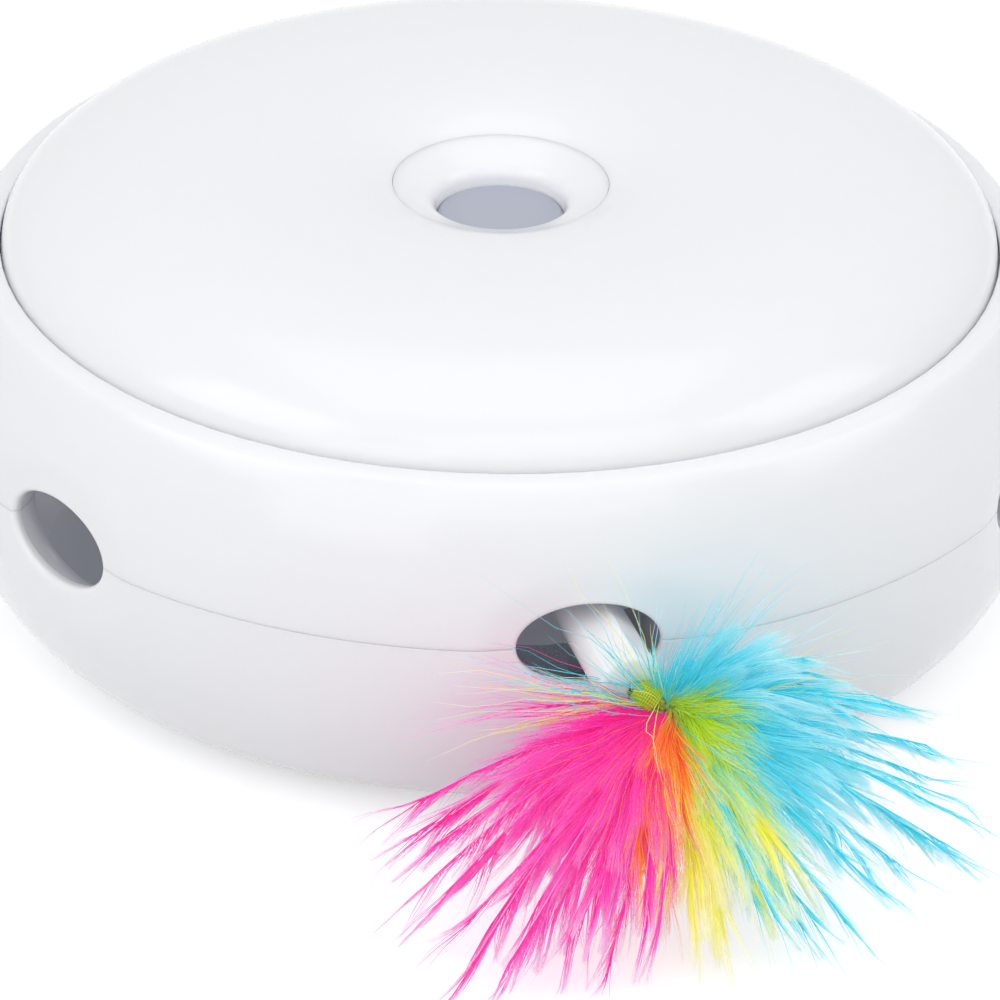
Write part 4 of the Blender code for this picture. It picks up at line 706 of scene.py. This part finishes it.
def plated(name, colour, roughness):
    """Plated metal with fine turning marks."""
    made, tree, shader = finish(name, colour, roughness, Metallic=1.0)
    marks = noise(tree, spots(tree), 0.4, 4.0).outputs["Fac"]
    gloss = ranged(tree, marks, roughness * 0.7, roughness * 1.4, 0.3, 0.7)
    tree.links.new(gloss, shader.inputs["Roughness"])
    toned(tree, shader, ranged(tree, marks, 0.90, 1.08), linear(colour))
    return made


def tracked_board(name, lacquer, track):
    """Lacquer that is lighter and raised where copper tracks run under it."""
    made, tree, shader = finish(name, lacquer, 0.35, IOR=1.55)
    layout = add_node(tree, "ShaderNodeTexBrick", {"offset": 0.3}, Vector=spots(tree),
                      Scale=1 / (6.0 * MM), Mortar_Size=0.08, Mortar_Smooth=0.2, Brick_Width=0.9,
                      Row_Height=0.35, Color1=linear(lacquer), Color2=linear(lacquer),
                      Mortar=linear(track))
    tree.links.new(layout.outputs["Color"], shader.inputs["Base Color"])
    raised(tree, shader, layout.outputs["Fac"], 0.5, 0.04)
    return made


def banded_cell(name, sleeve, steel, band):
    """A sleeve with one band, and bare steel past its ends."""
    made, tree, shader = finish(name, sleeve, 0.28, IOR=1.50)
    place = spots(tree)
    parts = add_node(tree, "ShaderNodeSeparateXYZ", Vector=place)
    half = CELL_HALF_LENGTH * MM
    colour = colour_ramp(tree, ranged(tree, parts.outputs["X"], 0.0, 1.0, -half, half),
                         (0.0, steel), (0.095, sleeve), (0.62, band), (0.74, sleeve),
                         (0.905, steel), kind="CONSTANT")
    wear = noise(tree, place, 2, 3.0)
    toned(tree, shader, ranged(tree, wear.outputs["Fac"], 0.9, 1.1), colour)
    return made


def numbered(name, count):
    return [f"{name}_{number}" for number in range(1, count + 1)]


# The model's own nodes that keep their shape, by the paint they get
KEPT_NODES = {
    "gloss_abs": ("wand_arm",),
    "plain_abs": ("battery_door", "battery_tray", "drive_plate", "switch_plunger"),
    "acetal": ("crank_gear", "idler_gear", "motor_pinion"),
    "dark_abs": ("tact_switch",),
    "rubber": numbered("foot", 4),
    "pvc": ("battery_lead", "motor_lead"),
    "zinc": ("centre_axle", "idler_pin", "motor", "crank_screw", "door_screw",
             *numbered("board_screw", 3), *numbered("cover_screw", 4),
             *numbered("plate_screw", 4)),
    "nickel": (*numbered("contact_plate", 3), *numbered("contact_spring", 3)),
    "board": ("control_board",),
    "cell": numbered("battery", 3),
    "resin": ("status_led",),
}


def paint_nodes(paints):
    for paint, names in KEPT_NODES.items():
        for name in names:
            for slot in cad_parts[name].material_slots:
                slot.material = paints[paint]


def wand_point(reach, across=0.0, rise=0.0):
    """A point in the wand's own directions, in millimetres."""
    ahead, side = polar(1, WAND_AZIMUTH), polar(1, WAND_AZIMUTH + 90)
    return polar(PIN_REACH, PIN_AZIMUTH, MID + rise) + ahead * reach + side * across


def knot_point(across=0.0, ahead=0.0, rise=0.0):
    """A point counted from the knot that the plumes fan from."""
    return wand_point(KNOT_REACH + ahead, KNOT_ACROSS + across, KNOT_RISE + rise)


def quill_lines(tips, count, share, bow, seed):
    """Quills that fan from the knot towards a row of tips, each covering a share of the way."""
    chance = np.random.default_rng(seed)
    lines = []
    for number in range(count):
        place = (number + 0.5) / count * (len(tips) - 1) + chance.uniform(-0.25, 0.25)
        place = min(max(place, 0.0), len(tips) - 1.001)
        first, last = Vector(tips[int(place)]), Vector(tips[int(place) + 1])
        tip = first.lerp(last, place - int(place)) * chance.uniform(0.84, 1.08)
        tip += Vector(chance.uniform(-3, 3, 3))
        end = knot_point(*(tip * share))
        start = knot_point(*chance.uniform(-0.8, 0.8, 3))
        middle = start.lerp(end, 0.45) + Vector((0, 0, bow)) + Vector(chance.uniform(-1.5, 1.5, 3))
        lines.append([start.lerp(middle, step / 8).lerp(middle.lerp(end, step / 8), step / 8)
                      for step in range(9)])
    return lines


def stored(tree, geometry, name, value, kind="FLOAT"):
    """The geometry, with a value kept on it under a name."""
    return add_node(tree, "GeometryNodeStoreNamedAttribute", {"data_type": kind},
                    Geometry=geometry, Name=name, Value=value).outputs["Geometry"]


def named(tree, name, kind="FLOAT"):
    return add_node(tree, "GeometryNodeInputNamedAttribute", {"data_type": kind},
                    Name=name).outputs[0]


def drawn(tree, low, high, seed, **more):
    return add_node(tree, "FunctionNodeRandomValue", {"data_type": "FLOAT"}, i2=low, i3=high,
                    Seed=seed, **more).outputs[1]


def swept(tree, curve, sides, radius=1.0, **more):
    """A closed tube along a curve."""
    section = add_node(tree, "GeometryNodeCurvePrimitiveCircle", Resolution=sides, Radius=radius)
    return add_node(tree, "GeometryNodeCurveToMesh", Curve=curve, i1=section.outputs["Curve"],
                    Fill_Caps=True, **more).outputs["Mesh"]


def node_group(name, **kinds):
    """A new Geometry Nodes group with named inputs beside its geometry, and those inputs."""
    tree = bpy.data.node_groups.new(name, "GeometryNodeTree")
    tree.is_modifier = True
    for key, kind in {"Geometry": "Geometry", **kinds}.items():
        tree.interface.new_socket(name=key.replace("_", " "), in_out="INPUT",
                                  socket_type="NodeSocket" + kind)
    tree.interface.new_socket(name="Geometry", in_out="OUTPUT", socket_type="NodeSocketGeometry")
    return tree, add_node(tree, "NodeGroupInput").outputs


def give_out(tree, geometry, paint):
    """Ends a group: its geometry comes out smooth, real and painted."""
    smooth = add_node(tree, "GeometryNodeSetShadeSmooth", i0=geometry)
    solid = add_node(tree, "GeometryNodeRealizeInstances", Geometry=smooth.outputs[0])
    painted = add_node(tree, "GeometryNodeSetMaterial", Geometry=solid.outputs[0],
                       Material=paint)
    add_node(tree, "NodeGroupOutput", Geometry=painted.outputs[0])


def down_tree():
    """Geometry Nodes that grow barbs along quills: each barb leaves its quill at a slant, sweeps
    towards the tip, waves, gathers into locks and thins to nothing."""
    tree, given = node_group(
        "grow_down", Barbs="Int", Barb_Reach="Float", Spread="Float", Sweep="Float",
        Barb_Radius="Float", Wave="Float", Lock_Size="Float", Locking="Float", Droop="Float",
        Quill_Radius="Float", Seed="Int", Paint="Material")
    along = add_node(tree, "GeometryNodeSplineParameter").outputs["Factor"]
    here = add_node(tree, "GeometryNodeInputPosition").outputs[0]
    quills = add_node(tree, "GeometryNodeMeshToCurve", Mesh=given["Geometry"]).outputs["Curve"]
    roots = add_node(tree, "GeometryNodeCurveToPoints", {"mode": "COUNT"},
                     Curve=stored(tree, quills, "station", along), Count=given["Barbs"]).outputs
    station = named(tree, "station")

    # The slant: the quill's way, plus a random push square to it
    way = roots["Tangent"]
    push = add_node(tree, "FunctionNodeRandomValue", {"data_type": "FLOAT_VECTOR"},
                    i0=(-1, -1, -1), i1=(1, 1, 1), Seed=given["Seed"]).outputs[0]
    held = scaled(tree, way, vector(tree, "DOT_PRODUCT", push, way))
    aside = vector(tree, "NORMALIZE", vector(tree, "SUBTRACT", push, held))
    slant = product(tree, drawn(tree, 0.25, 1.0, given["Seed"]),
                    ranged(tree, station, 1.0, 0.20), given["Spread"])
    heading = vector(tree, "NORMALIZE", vector(tree, "ADD", scaled(tree, aside, slant), way))

    # Each barb's length, shorter towards the quill's tip, and where its tip comes to lie
    any_length = drawn(tree, 0.45, 1.0, maths(tree, "ADD", given["Seed"], 7.0),
                        ID=add_node(tree, "GeometryNodeInputIndex").outputs[0])
    length = product(tree, any_length, ranged(tree, station, 1.0, 0.85), given["Barb Reach"])
    sweep = scaled(tree, way, product(tree, length, given["Sweep"]))
    reached = vector(tree, "ADD", scaled(tree, heading, length), sweep)
    points = roots["Points"]
    for name, kind, value in (
            ("barb_sweep", "FLOAT_VECTOR", sweep),
            ("barb_tip", "FLOAT_VECTOR", vector(tree, "ADD", reached, here)),
            ("tint", "FLOAT", drawn(tree, 0.0, 1.0, maths(tree, "ADD", given["Seed"], 13.0)))):
        points = stored(tree, points, name, value, kind)
    line = add_node(tree, "GeometryNodeCurvePrimitiveLine", Start=(0, 0, 0), End=(0, 0, 1))
    barb = add_node(tree, "GeometryNodeResampleCurve", Curve=line.outputs["Curve"], Count=7)
    turned = add_node(tree, "FunctionNodeAlignRotationToVector", {"axis": "Z"}, Vector=heading)
    size = add_node(tree, "ShaderNodeCombineXYZ", X=1.0, Y=1.0, Z=length)
    grown = add_node(tree, "GeometryNodeInstanceOnPoints", Points=points,
                     Instance=barb.outputs["Curve"], Rotation=turned.outputs[0],
                     Scale=size.outputs[0])
    barbs = add_node(tree, "GeometryNodeRealizeInstances", Geometry=grown.outputs[0])
    kept = stored(tree, barbs.outputs[0], "along", along)
    share = named(tree, "along")
    squared = maths(tree, "POWER", share, 1.7)

    # Sweep, locks, waves and droop, all growing from root to tip
    free_tip = named(tree, "barb_tip", "FLOAT_VECTOR")
    locks = add_node(tree, "ShaderNodeTexVoronoi", Vector=free_tip,
                     Scale=maths(tree, "DIVIDE", 1.0, given["Lock Size"]), Randomness=1.0)
    pull = vector(tree, "SUBTRACT", locks.outputs["Position"], free_tip)
    offset = vector(tree, "ADD",
                    scaled(tree, named(tree, "barb_sweep", "FLOAT_VECTOR"), squared),
                    scaled(tree, pull, product(tree, squared, given["Locking"])))
    for wave_mm, strength in ((13.0, 1.0), (4.5, 0.16)):
        field = noise(tree, here, wave_mm, 1.0)
        centred = vector(tree, "SUBTRACT", field.outputs["Color"], (0.5, 0.5, 0.5))
        moved = scaled(tree, centred, product(tree, share, given["Wave"], strength))
        offset = vector(tree, "ADD", offset, moved)
    fall = product(tree, squared, given["Droop"], -1.0)
    down = add_node(tree, "ShaderNodeCombineXYZ", Z=fall).outputs[0]
    shaped = add_node(tree, "GeometryNodeSetPosition", Geometry=kept,
                      Offset=vector(tree, "ADD", offset, down)).outputs[0]

    # The colour pales towards the tips of the barbs that grow near a quill's own tip: partly the
    # down's own colour, partly painted light that stands in for light shining through the fine
    # tips
    paling = product(tree, share, ranged(tree, station, 0.42, 1.15, 0.0, 0.85))
    thickness = product(tree, ranged(tree, share, 1.0, 0.18, 0.30), given["Barb Radius"])
    hairs = swept(tree, stored(tree, shaped, "dye", paling), 3, Scale=thickness)
    thickness = product(tree, ranged(tree, along, 1.0, 0.15), given["Quill Radius"])
    shafts = swept(tree, stored(tree, quills, "dye", along), 6, Scale=thickness)
    both = add_node(tree, "GeometryNodeJoinGeometry")
    for part in (hairs, shafts):
        tree.links.new(part, both.inputs[0])
    give_out(tree, both.outputs[0], given["Paint"])
    return tree


def baked(name, source, tree, **inputs):
    """The plain mesh that a node tree makes of a source mesh, as a piece of its own."""
    step = source.modifiers.new("grow", "NODES")
    step.node_group = tree
    names = {item.name: item.identifier for item in tree.interface.items_tree
             if item.in_out == "INPUT"}
    for key, value in inputs.items():
        step[names[key.replace("_", " ")]] = value
    seen = source.evaluated_get(bpy.context.evaluated_depsgraph_get())
    mesh = bpy.data.meshes.new_from_object(seen)
    mesh.name = name
    for extra in ("station", "barb_tip", "barb_sweep"):
        if extra in mesh.attributes:
            mesh.attributes.remove(mesh.attributes[extra])
    mesh.materials.clear()
    mesh.materials.append(inputs["Paint"])
    bpy.data.objects.remove(source)
    return add_object(name, mesh)


def line_mesh(name, lines):
    """Open lines of points in millimetres, as a mesh of edges."""
    points, edges = [], []
    for line in lines:
        base = len(points)
        points += [tuple(point * MM) for point in line]
        edges += [(base + step, base + step + 1) for step in range(len(line) - 1)]
    mesh = bpy.data.meshes.new(name)
    mesh.from_pydata(points, edges, [])
    return add_object(name, mesh)


def rest_down(piece):
    """Lays the down on the casing's side and the floor where it would run into them, and draws
    in strays that reach too far ahead or aside."""
    mesh = piece.data
    held = np.empty(len(mesh.vertices) * 3, dtype=np.float32)
    mesh.vertices.foreach_get("co", held)
    held = held.reshape(-1, 3)
    height = np.clip(held[:, 2] / MM - MID, -LOWER_DEPTH + 0.01, UPPER_RISE - 0.01)
    lower = LOWER_FLAT_RADIUS + (BODY_RADIUS - LOWER_FLAT_RADIUS) * np.sqrt(
        1 - (np.minimum(height, 0) / LOWER_DEPTH) ** 2)
    upper = UPPER_CORNER_RADIUS + (BODY_RADIUS - UPPER_CORNER_RADIUS) * np.sqrt(
        1 - (np.maximum(height, 0) / UPPER_RISE) ** 2)
    gap = 0.5
    limit = (np.where(height < 0, lower, upper) + gap) * MM
    radius = np.hypot(held[:, 0], held[:, 1])
    push = np.maximum(1.0, limit / np.maximum(radius, MM))
    held[:, 0] *= push
    held[:, 1] *= push
    give = 8.0
    for axis, sign, reach in ((1, -1, DOWN_AHEAD), (0, 1, DOWN_ASIDE), (0, -1, DOWN_ASIDE)):
        past = np.maximum(0.0, held[:, axis] * sign / MM - reach)
        held[:, axis] -= sign * (past - give * (1 - np.exp(-past / give))) * MM
    give, ground = 2.6, 3.0
    low = np.maximum(0.0, ground - held[:, 2] / MM)
    held[:, 2] += (low - give * (1 - np.exp(-low / give))) * MM
    mesh.vertices.foreach_set("co", held.ravel())
    mesh.update()


# The tips that each plume fans to: across, ahead of and above the knot
PINK_TIPS = ((-43, -19, -22), (-43, -8, -25), (-44, 4, -28), (-41, 14, -30), (-39, 27, -32),
             (-30, 21, -26), (-25, 23, -29), (-20, 24, -25), (-15, 25, -29), (-8, 25, -27))
ORANGE_TIPS = ((-18, 20, -24), (-12, 21, -23), (-7, 20, -20), (-2, 18, -17), (1, 19, -19),
               (-7, 27, -31))
YELLOW_TIPS = ((-9, 28, -30), (-3, 29, -31), (4, 30, -31), (9, 30, -27), (2, 22, -22),
               (14, 28, -24), (19, 26, -24))
LIME_TIPS = ((14, 10, 1), (17, 12, -3), (12, 13, -5), (8, 13, -7), (17, 19, -12), (4, 15, -10))
AQUA_TIPS = ((9, 0, 8), (16, 1, 9), (25, 4, 5), (31, 8, 1), (38, 9, 0), (43, 13, -7),
             (45, 24, -14), (42, 22, -22), (35, 26, -24), (28, 28, -26), (18, 31, -30),
             (12, 30, -27), (8, 28, -22))
TUFT_TIPS = ((-5, -3, 3), (-2, -5, 4), (2, -5, 5), (5, -2, 4), (1, 1, 4))
# What one barb takes up, and what one piece may hold
BARB_TRIANGLES, PIECE_TRIANGLES = 38, 185000
# The plumes: node, paint, tips, the share of the way that the quills go, their bow, number,
# barbs on each, barb length, spread, and how strongly the barbs gather into locks
PLUMES = (
    ("pink", "pink", PINK_TIPS, 0.44, 2.5, 12, 460, 17.0, 0.70, 0.60),
    ("pink", "pink", PINK_TIPS, 0.88, 4.0, 28, 165, 12.0, 0.34, 0.85),
    ("orange", "orange", ORANGE_TIPS, 0.70, 6.5, 14, 140, 11.0, 0.40, 0.70),
    ("yellow", "yellow", YELLOW_TIPS, 0.66, 3.5, 13, 330, 14.0, 0.55, 0.65),
    ("yellow", "lime", LIME_TIPS, 0.62, 6.0, 11, 230, 8.0, 0.85, 0.40),
    ("aqua", "aqua", AQUA_TIPS, 0.42, 2.5, 14, 440, 16.0, 0.70, 0.60),
    ("aqua", "aqua", AQUA_TIPS, 0.86, 4.0, 30, 160, 11.0, 0.34, 0.85),
    ("aqua", "aqua", TUFT_TIPS, 0.80, 1.5, 7, 110, 6.5, 1.10, 0.35),
)
# Stray hairs that curl round the knot and over the hole: plume, paint, tips, number and hairs
WISPS = (
    ("aqua", "aqua", ((-26, -8, 15), (-34, -3, 4), (-16, 2, 16), (4, 4, 18), (24, 2, 14),
                      (44, -6, 12)), 9, 8),
    ("yellow", "yellow", ((-30, -6, 8), (-38, -8, -3), (-20, 6, 8), (30, 6, 6), (46, -4, 6)),
     6, 7),
    ("pink", "pink", ((-38, -16, 2), (-44, -14, -6), (-30, 4, -4), (-44, 6, -22), (-30, 26, -31),
                      (-12, 30, -31)), 9, 10),
    ("orange", "orange", ((-20, 8, -14), (-10, 16, -24), (2, 20, -26)), 6, 12),
    ("aqua", "aqua", ((50, 10, -4), (52, 24, -12), (20, 34, -30), (34, 30, -24)), 7, 9),
)


def make_down(paints):
    """The plumes: quills fanning from the knot, thick with soft barbs, and stray hairs."""
    tree = down_tree()
    made = 0
    for seed, (node, paint, tips, share, bow, quills, barbs, barb, spread, locking) in enumerate(
            PLUMES, 3):
        lines = quill_lines(tips, quills, share, bow, seed)
        parts = math.ceil(barbs * quills * BARB_TRIANGLES / PIECE_TRIANGLES)
        for part in range(parts):
            made += 1
            piece = baked(f"{paint}_down_{made}", line_mesh("quills", lines[part::parts]), tree,
                          Barbs=barbs, Barb_Reach=barb * MM, Spread=spread, Sweep=0.35,
                          Barb_Radius=0.060 * MM, Wave=8.0 * MM, Lock_Size=5.5 * MM,
                          Locking=locking, Droop=1.5 * MM, Quill_Radius=0.26 * MM,
                          Seed=seed * 10 + part, Paint=paints[paint])
            rest_down(piece)
            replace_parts(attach(piece, "wand"), f"{node}_plume")
    for seed, (node, paint, tips, quills, hairs) in enumerate(WISPS, 20):
        lines = quill_lines(tips, quills, 0.40, 2.0, seed)
        piece = baked(f"{paint}_wisps_{seed}", line_mesh("quills", lines), tree, Barbs=hairs,
                      Barb_Reach=22 * MM, Spread=0.7, Sweep=0.5, Barb_Radius=0.075 * MM,
                      Wave=14.0 * MM, Lock_Size=9.0 * MM, Locking=0.25, Droop=1.0 * MM,
                      Quill_Radius=0.10 * MM, Seed=seed * 10, Paint=paints[paint])
        rest_down(piece)
        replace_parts(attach(piece, "wand"), f"{node}_plume")


def make_holder(paint):
    """The white holder: a bar with two long flats on top, pushed on the wand's spigot."""
    socket, steepest = (2.8, HOLDER_END - 11), 0.4
    outline = [(0.02, HOLDER_END)]
    outline += arc((HOLDER_RADIUS - 1.1, HOLDER_END - 1.1), 1.1, 86, 12, 8)
    outline += arc((HOLDER_RADIUS - 0.6, HOLDER_START + 0.9), 0.6, 0, -80, 5)
    outline += [(socket[0], HOLDER_START), socket, (0.02, socket[1])]
    points, faces = revolve(outline, 96)
    placed = []
    for across, rise, reach in points:
        radius, turn = math.hypot(across, rise), math.degrees(math.atan2(rise, across))
        for facing, share in FLATS:
            slant = math.cos(math.radians(turn - facing))
            if slant > steepest:
                radius = min(radius, HOLDER_RADIUS * share / slant)
        turn = math.radians(turn)
        placed.append(wand_point(reach, radius * math.cos(turn), radius * math.sin(turn)))
    piece = mesh_piece("quill_holder", placed, faces, paint, 20.0)
    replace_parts(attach(piece, "wand"), "feather_holder")


def bundle_point(share, turn, reach):
    """A point beside the bent bundle of quills, from the holder's end to the knot."""
    start, bend = wand_point(HOLDER_END - 0.5, 0.8, -0.6), wand_point(HOLDER_END + 2.6, 2.4, -1.0)
    end = knot_point()
    centre = start.lerp(bend, share).lerp(bend.lerp(end, share), share)
    way = ((bend - start) * (1 - share) + (end - bend) * share).normalized()
    side = way.cross(Vector((0, 0, 1))).normalized()
    return centre + (side * math.cos(turn) + side.cross(way) * math.sin(turn)) * reach


def make_binding(paints):
    """Thread wound round the bent bundle of quills, the quills themselves and their cut ends."""
    thread, turns, count = 0.20, 11, 24
    lines = []
    for layer in range(2):
        line = []
        for step in range(turns * count + 1):
            share = step / (turns * count)
            place = 0.14 + 0.50 * (share if layer == 0 else 1 - share)
            swell = 0.30 * math.sin(share * math.pi) + 0.32 * layer
            line.append(bundle_point(place, math.tau * step / count, BINDING_RADIUS - 0.4 + swell))
        lines.append(line)
    winding = tube_piece("thread_winding", lines, thread, paints["thread"], 8)
    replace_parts(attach(winding, "wand"), "quill_binding")
    bundle = []
    for number in range(19):
        reach, turn = 1.55 * math.sqrt(number / 19), number * 2.4
        bundle.append([bundle_point(step / 7, turn + step * 0.05, reach * (1 - 0.25 * step / 7))
                       for step in range(8)])
    shafts = tube_piece("quill_bundle", bundle, 0.34, paints["quill"], 7)
    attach(shafts, "wand")
    ends = []
    for across, ahead, rise in ((-1.8, 1.2, 1.4), (0.4, 2.0, 1.8), (2.0, 1.6, 1.0),
                                (-1.2, 2.2, -0.6), (1.4, 2.4, 0.2)):
        start, end = knot_point(), knot_point(across, ahead, rise)
        ends.append([start.lerp(end, step / 3) for step in range(4)])
    stubs = tube_piece("quill_ends", ends, 0.32, paints["quill"], 7)
    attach(stubs, "wand")


def tube_piece(name, lines, radius, paint, sides):
    """Closed round tubes along open lines, baked from a small node tree."""
    tree, given = node_group("sweep_tube", Radius="Float", Sides="Int", Paint="Material")
    curve = add_node(tree, "GeometryNodeMeshToCurve", Mesh=given["Geometry"]).outputs["Curve"]
    give_out(tree, swept(tree, curve, given["Sides"], given["Radius"]), given["Paint"])
    return baked(name, line_mesh(name + "_line", lines), tree, Radius=radius * MM, Sides=sides,
                 Paint=paint)


def seen_directly(tree):
    """One for rays from the camera, and for mirrored or refracted ones."""
    path = add_node(tree, "ShaderNodeLightPath").outputs
    either = maths(tree, "MAXIMUM", path["Is Camera Ray"], path["Is Glossy Ray"])
    return maths(tree, "MAXIMUM", either, path["Is Transmission Ray"])


def make_stage():
    """A white floor that keeps the toy's shadow, soft lamps and a plain white surround."""
    made, tree, shader = finish("studio_floor", "DCDCDC", 0.9)
    glow = add_node(tree, "ShaderNodeEmission", Color=(1, 1, 1, 1), Strength=0.50)
    both = add_node(tree, "ShaderNodeAddShader", i0=shader.outputs["BSDF"],
                    i1=glow.outputs["Emission"])
    pick = add_node(tree, "ShaderNodeMixShader", i0=seen_directly(tree),
                    i1=shader.outputs["BSDF"], i2=both.outputs["Shader"])
    tree.links.new(pick.outputs["Shader"], tree.nodes["Material Output"].inputs["Surface"])
    mesh = bpy.data.meshes.new("studio_floor")
    reach = 6.0
    mesh.from_pydata([(-reach, -reach, 0), (reach, -reach, 0), (reach, reach, 0),
                      (-reach, reach, 0)], [], [(0, 1, 2, 3)])
    mesh.materials.append(made)
    floor = add_object("studio_floor", mesh)

    world = bpy.data.worlds.new("white_studio")
    world.use_nodes = True
    bpy.context.scene.world = world
    tree = world.node_tree
    backdrop = tree.nodes["Background"]
    backdrop.inputs["Color"].default_value = (0.96, 0.97, 1.0, 1)
    backdrop.inputs["Strength"].default_value = 0.56
    white = add_node(tree, "ShaderNodeBackground", Color=(1, 1, 1, 1), Strength=1.0)
    pick = add_node(tree, "ShaderNodeMixShader", i0=seen_directly(tree),
                    i1=backdrop.outputs["Background"], i2=white.outputs["Background"])
    tree.links.new(pick.outputs["Shader"], tree.nodes["World Output"].inputs["Surface"])

    for name, azimuth, distance, height, size, power in (
            ("left_softbox", -75, 0.75, 0.70, 0.60, 1.6),
            ("right_softbox", 70, 0.80, 0.60, 0.60, 1.4),
            ("front_softbox", 4, 0.95, 0.95, 1.10, 3.1),
            ("fill_softbox", -38, 1.30, 0.55, 0.80, 2.0),
            ("top_softbox", 170, 0.15, 1.00, 0.70, 1.0)):
        lamp = bpy.data.lights.new(name, "AREA")
        lamp.size = size
        lamp.energy = power
        holder = add_object(name, lamp)
        holder.location = polar(distance, azimuth, height)
        aim = Vector((0, 0, 0.03)) - holder.location
        holder.rotation_euler = aim.to_track_quat("-Z", "Y").to_euler()


def make_camera():
    """The photograph's long-lens view, from above and a little left of the front hole."""
    distance, elevation, azimuth, roll = 1.78, 27.67, -9.6, 1.0
    centre = Vector((0, 0, MID * MM))
    level = distance * math.cos(math.radians(elevation))
    place = centre + polar(level, azimuth, distance * math.sin(math.radians(elevation)))
    facing = (centre - place).to_track_quat("-Z", "Y").to_matrix()
    # The photograph's frame is centred a little right of and below the casing's middle
    shift = Matrix.Rotation(math.radians(roll), 3, "Z") @ Vector((0.0004, -0.0191, 0))
    aimed = (centre + facing @ shift - place).to_track_quat("-Z", "Y").to_matrix()
    lens = bpy.data.cameras.new("photo_camera")
    lens.lens = 404.8
    lens.sensor_width = 36
    lens.clip_start, lens.clip_end = 0.05, 50
    camera = add_object("photo_camera", lens)
    camera.matrix_world = (Matrix.Translation(place)
                           @ (aimed @ Matrix.Rotation(math.radians(roll), 3, "Z")).to_4x4())
    bpy.context.scene.camera = camera


def main():
    bpy.context.scene.view_settings.view_transform = "Standard"
    paints = make_finishes()
    make_upper_shell(paints["gloss_abs"])
    make_lower_shell(paints["gloss_abs"])
    make_top_cover(paints["gloss_abs"])
    make_bezel(paints["gloss_abs"])
    make_button(paints["lens"])
    make_holder(paints["gloss_abs"])
    make_binding(paints)
    make_down(paints)
    paint_nodes(paints)
    make_stage()
    make_camera()


main()
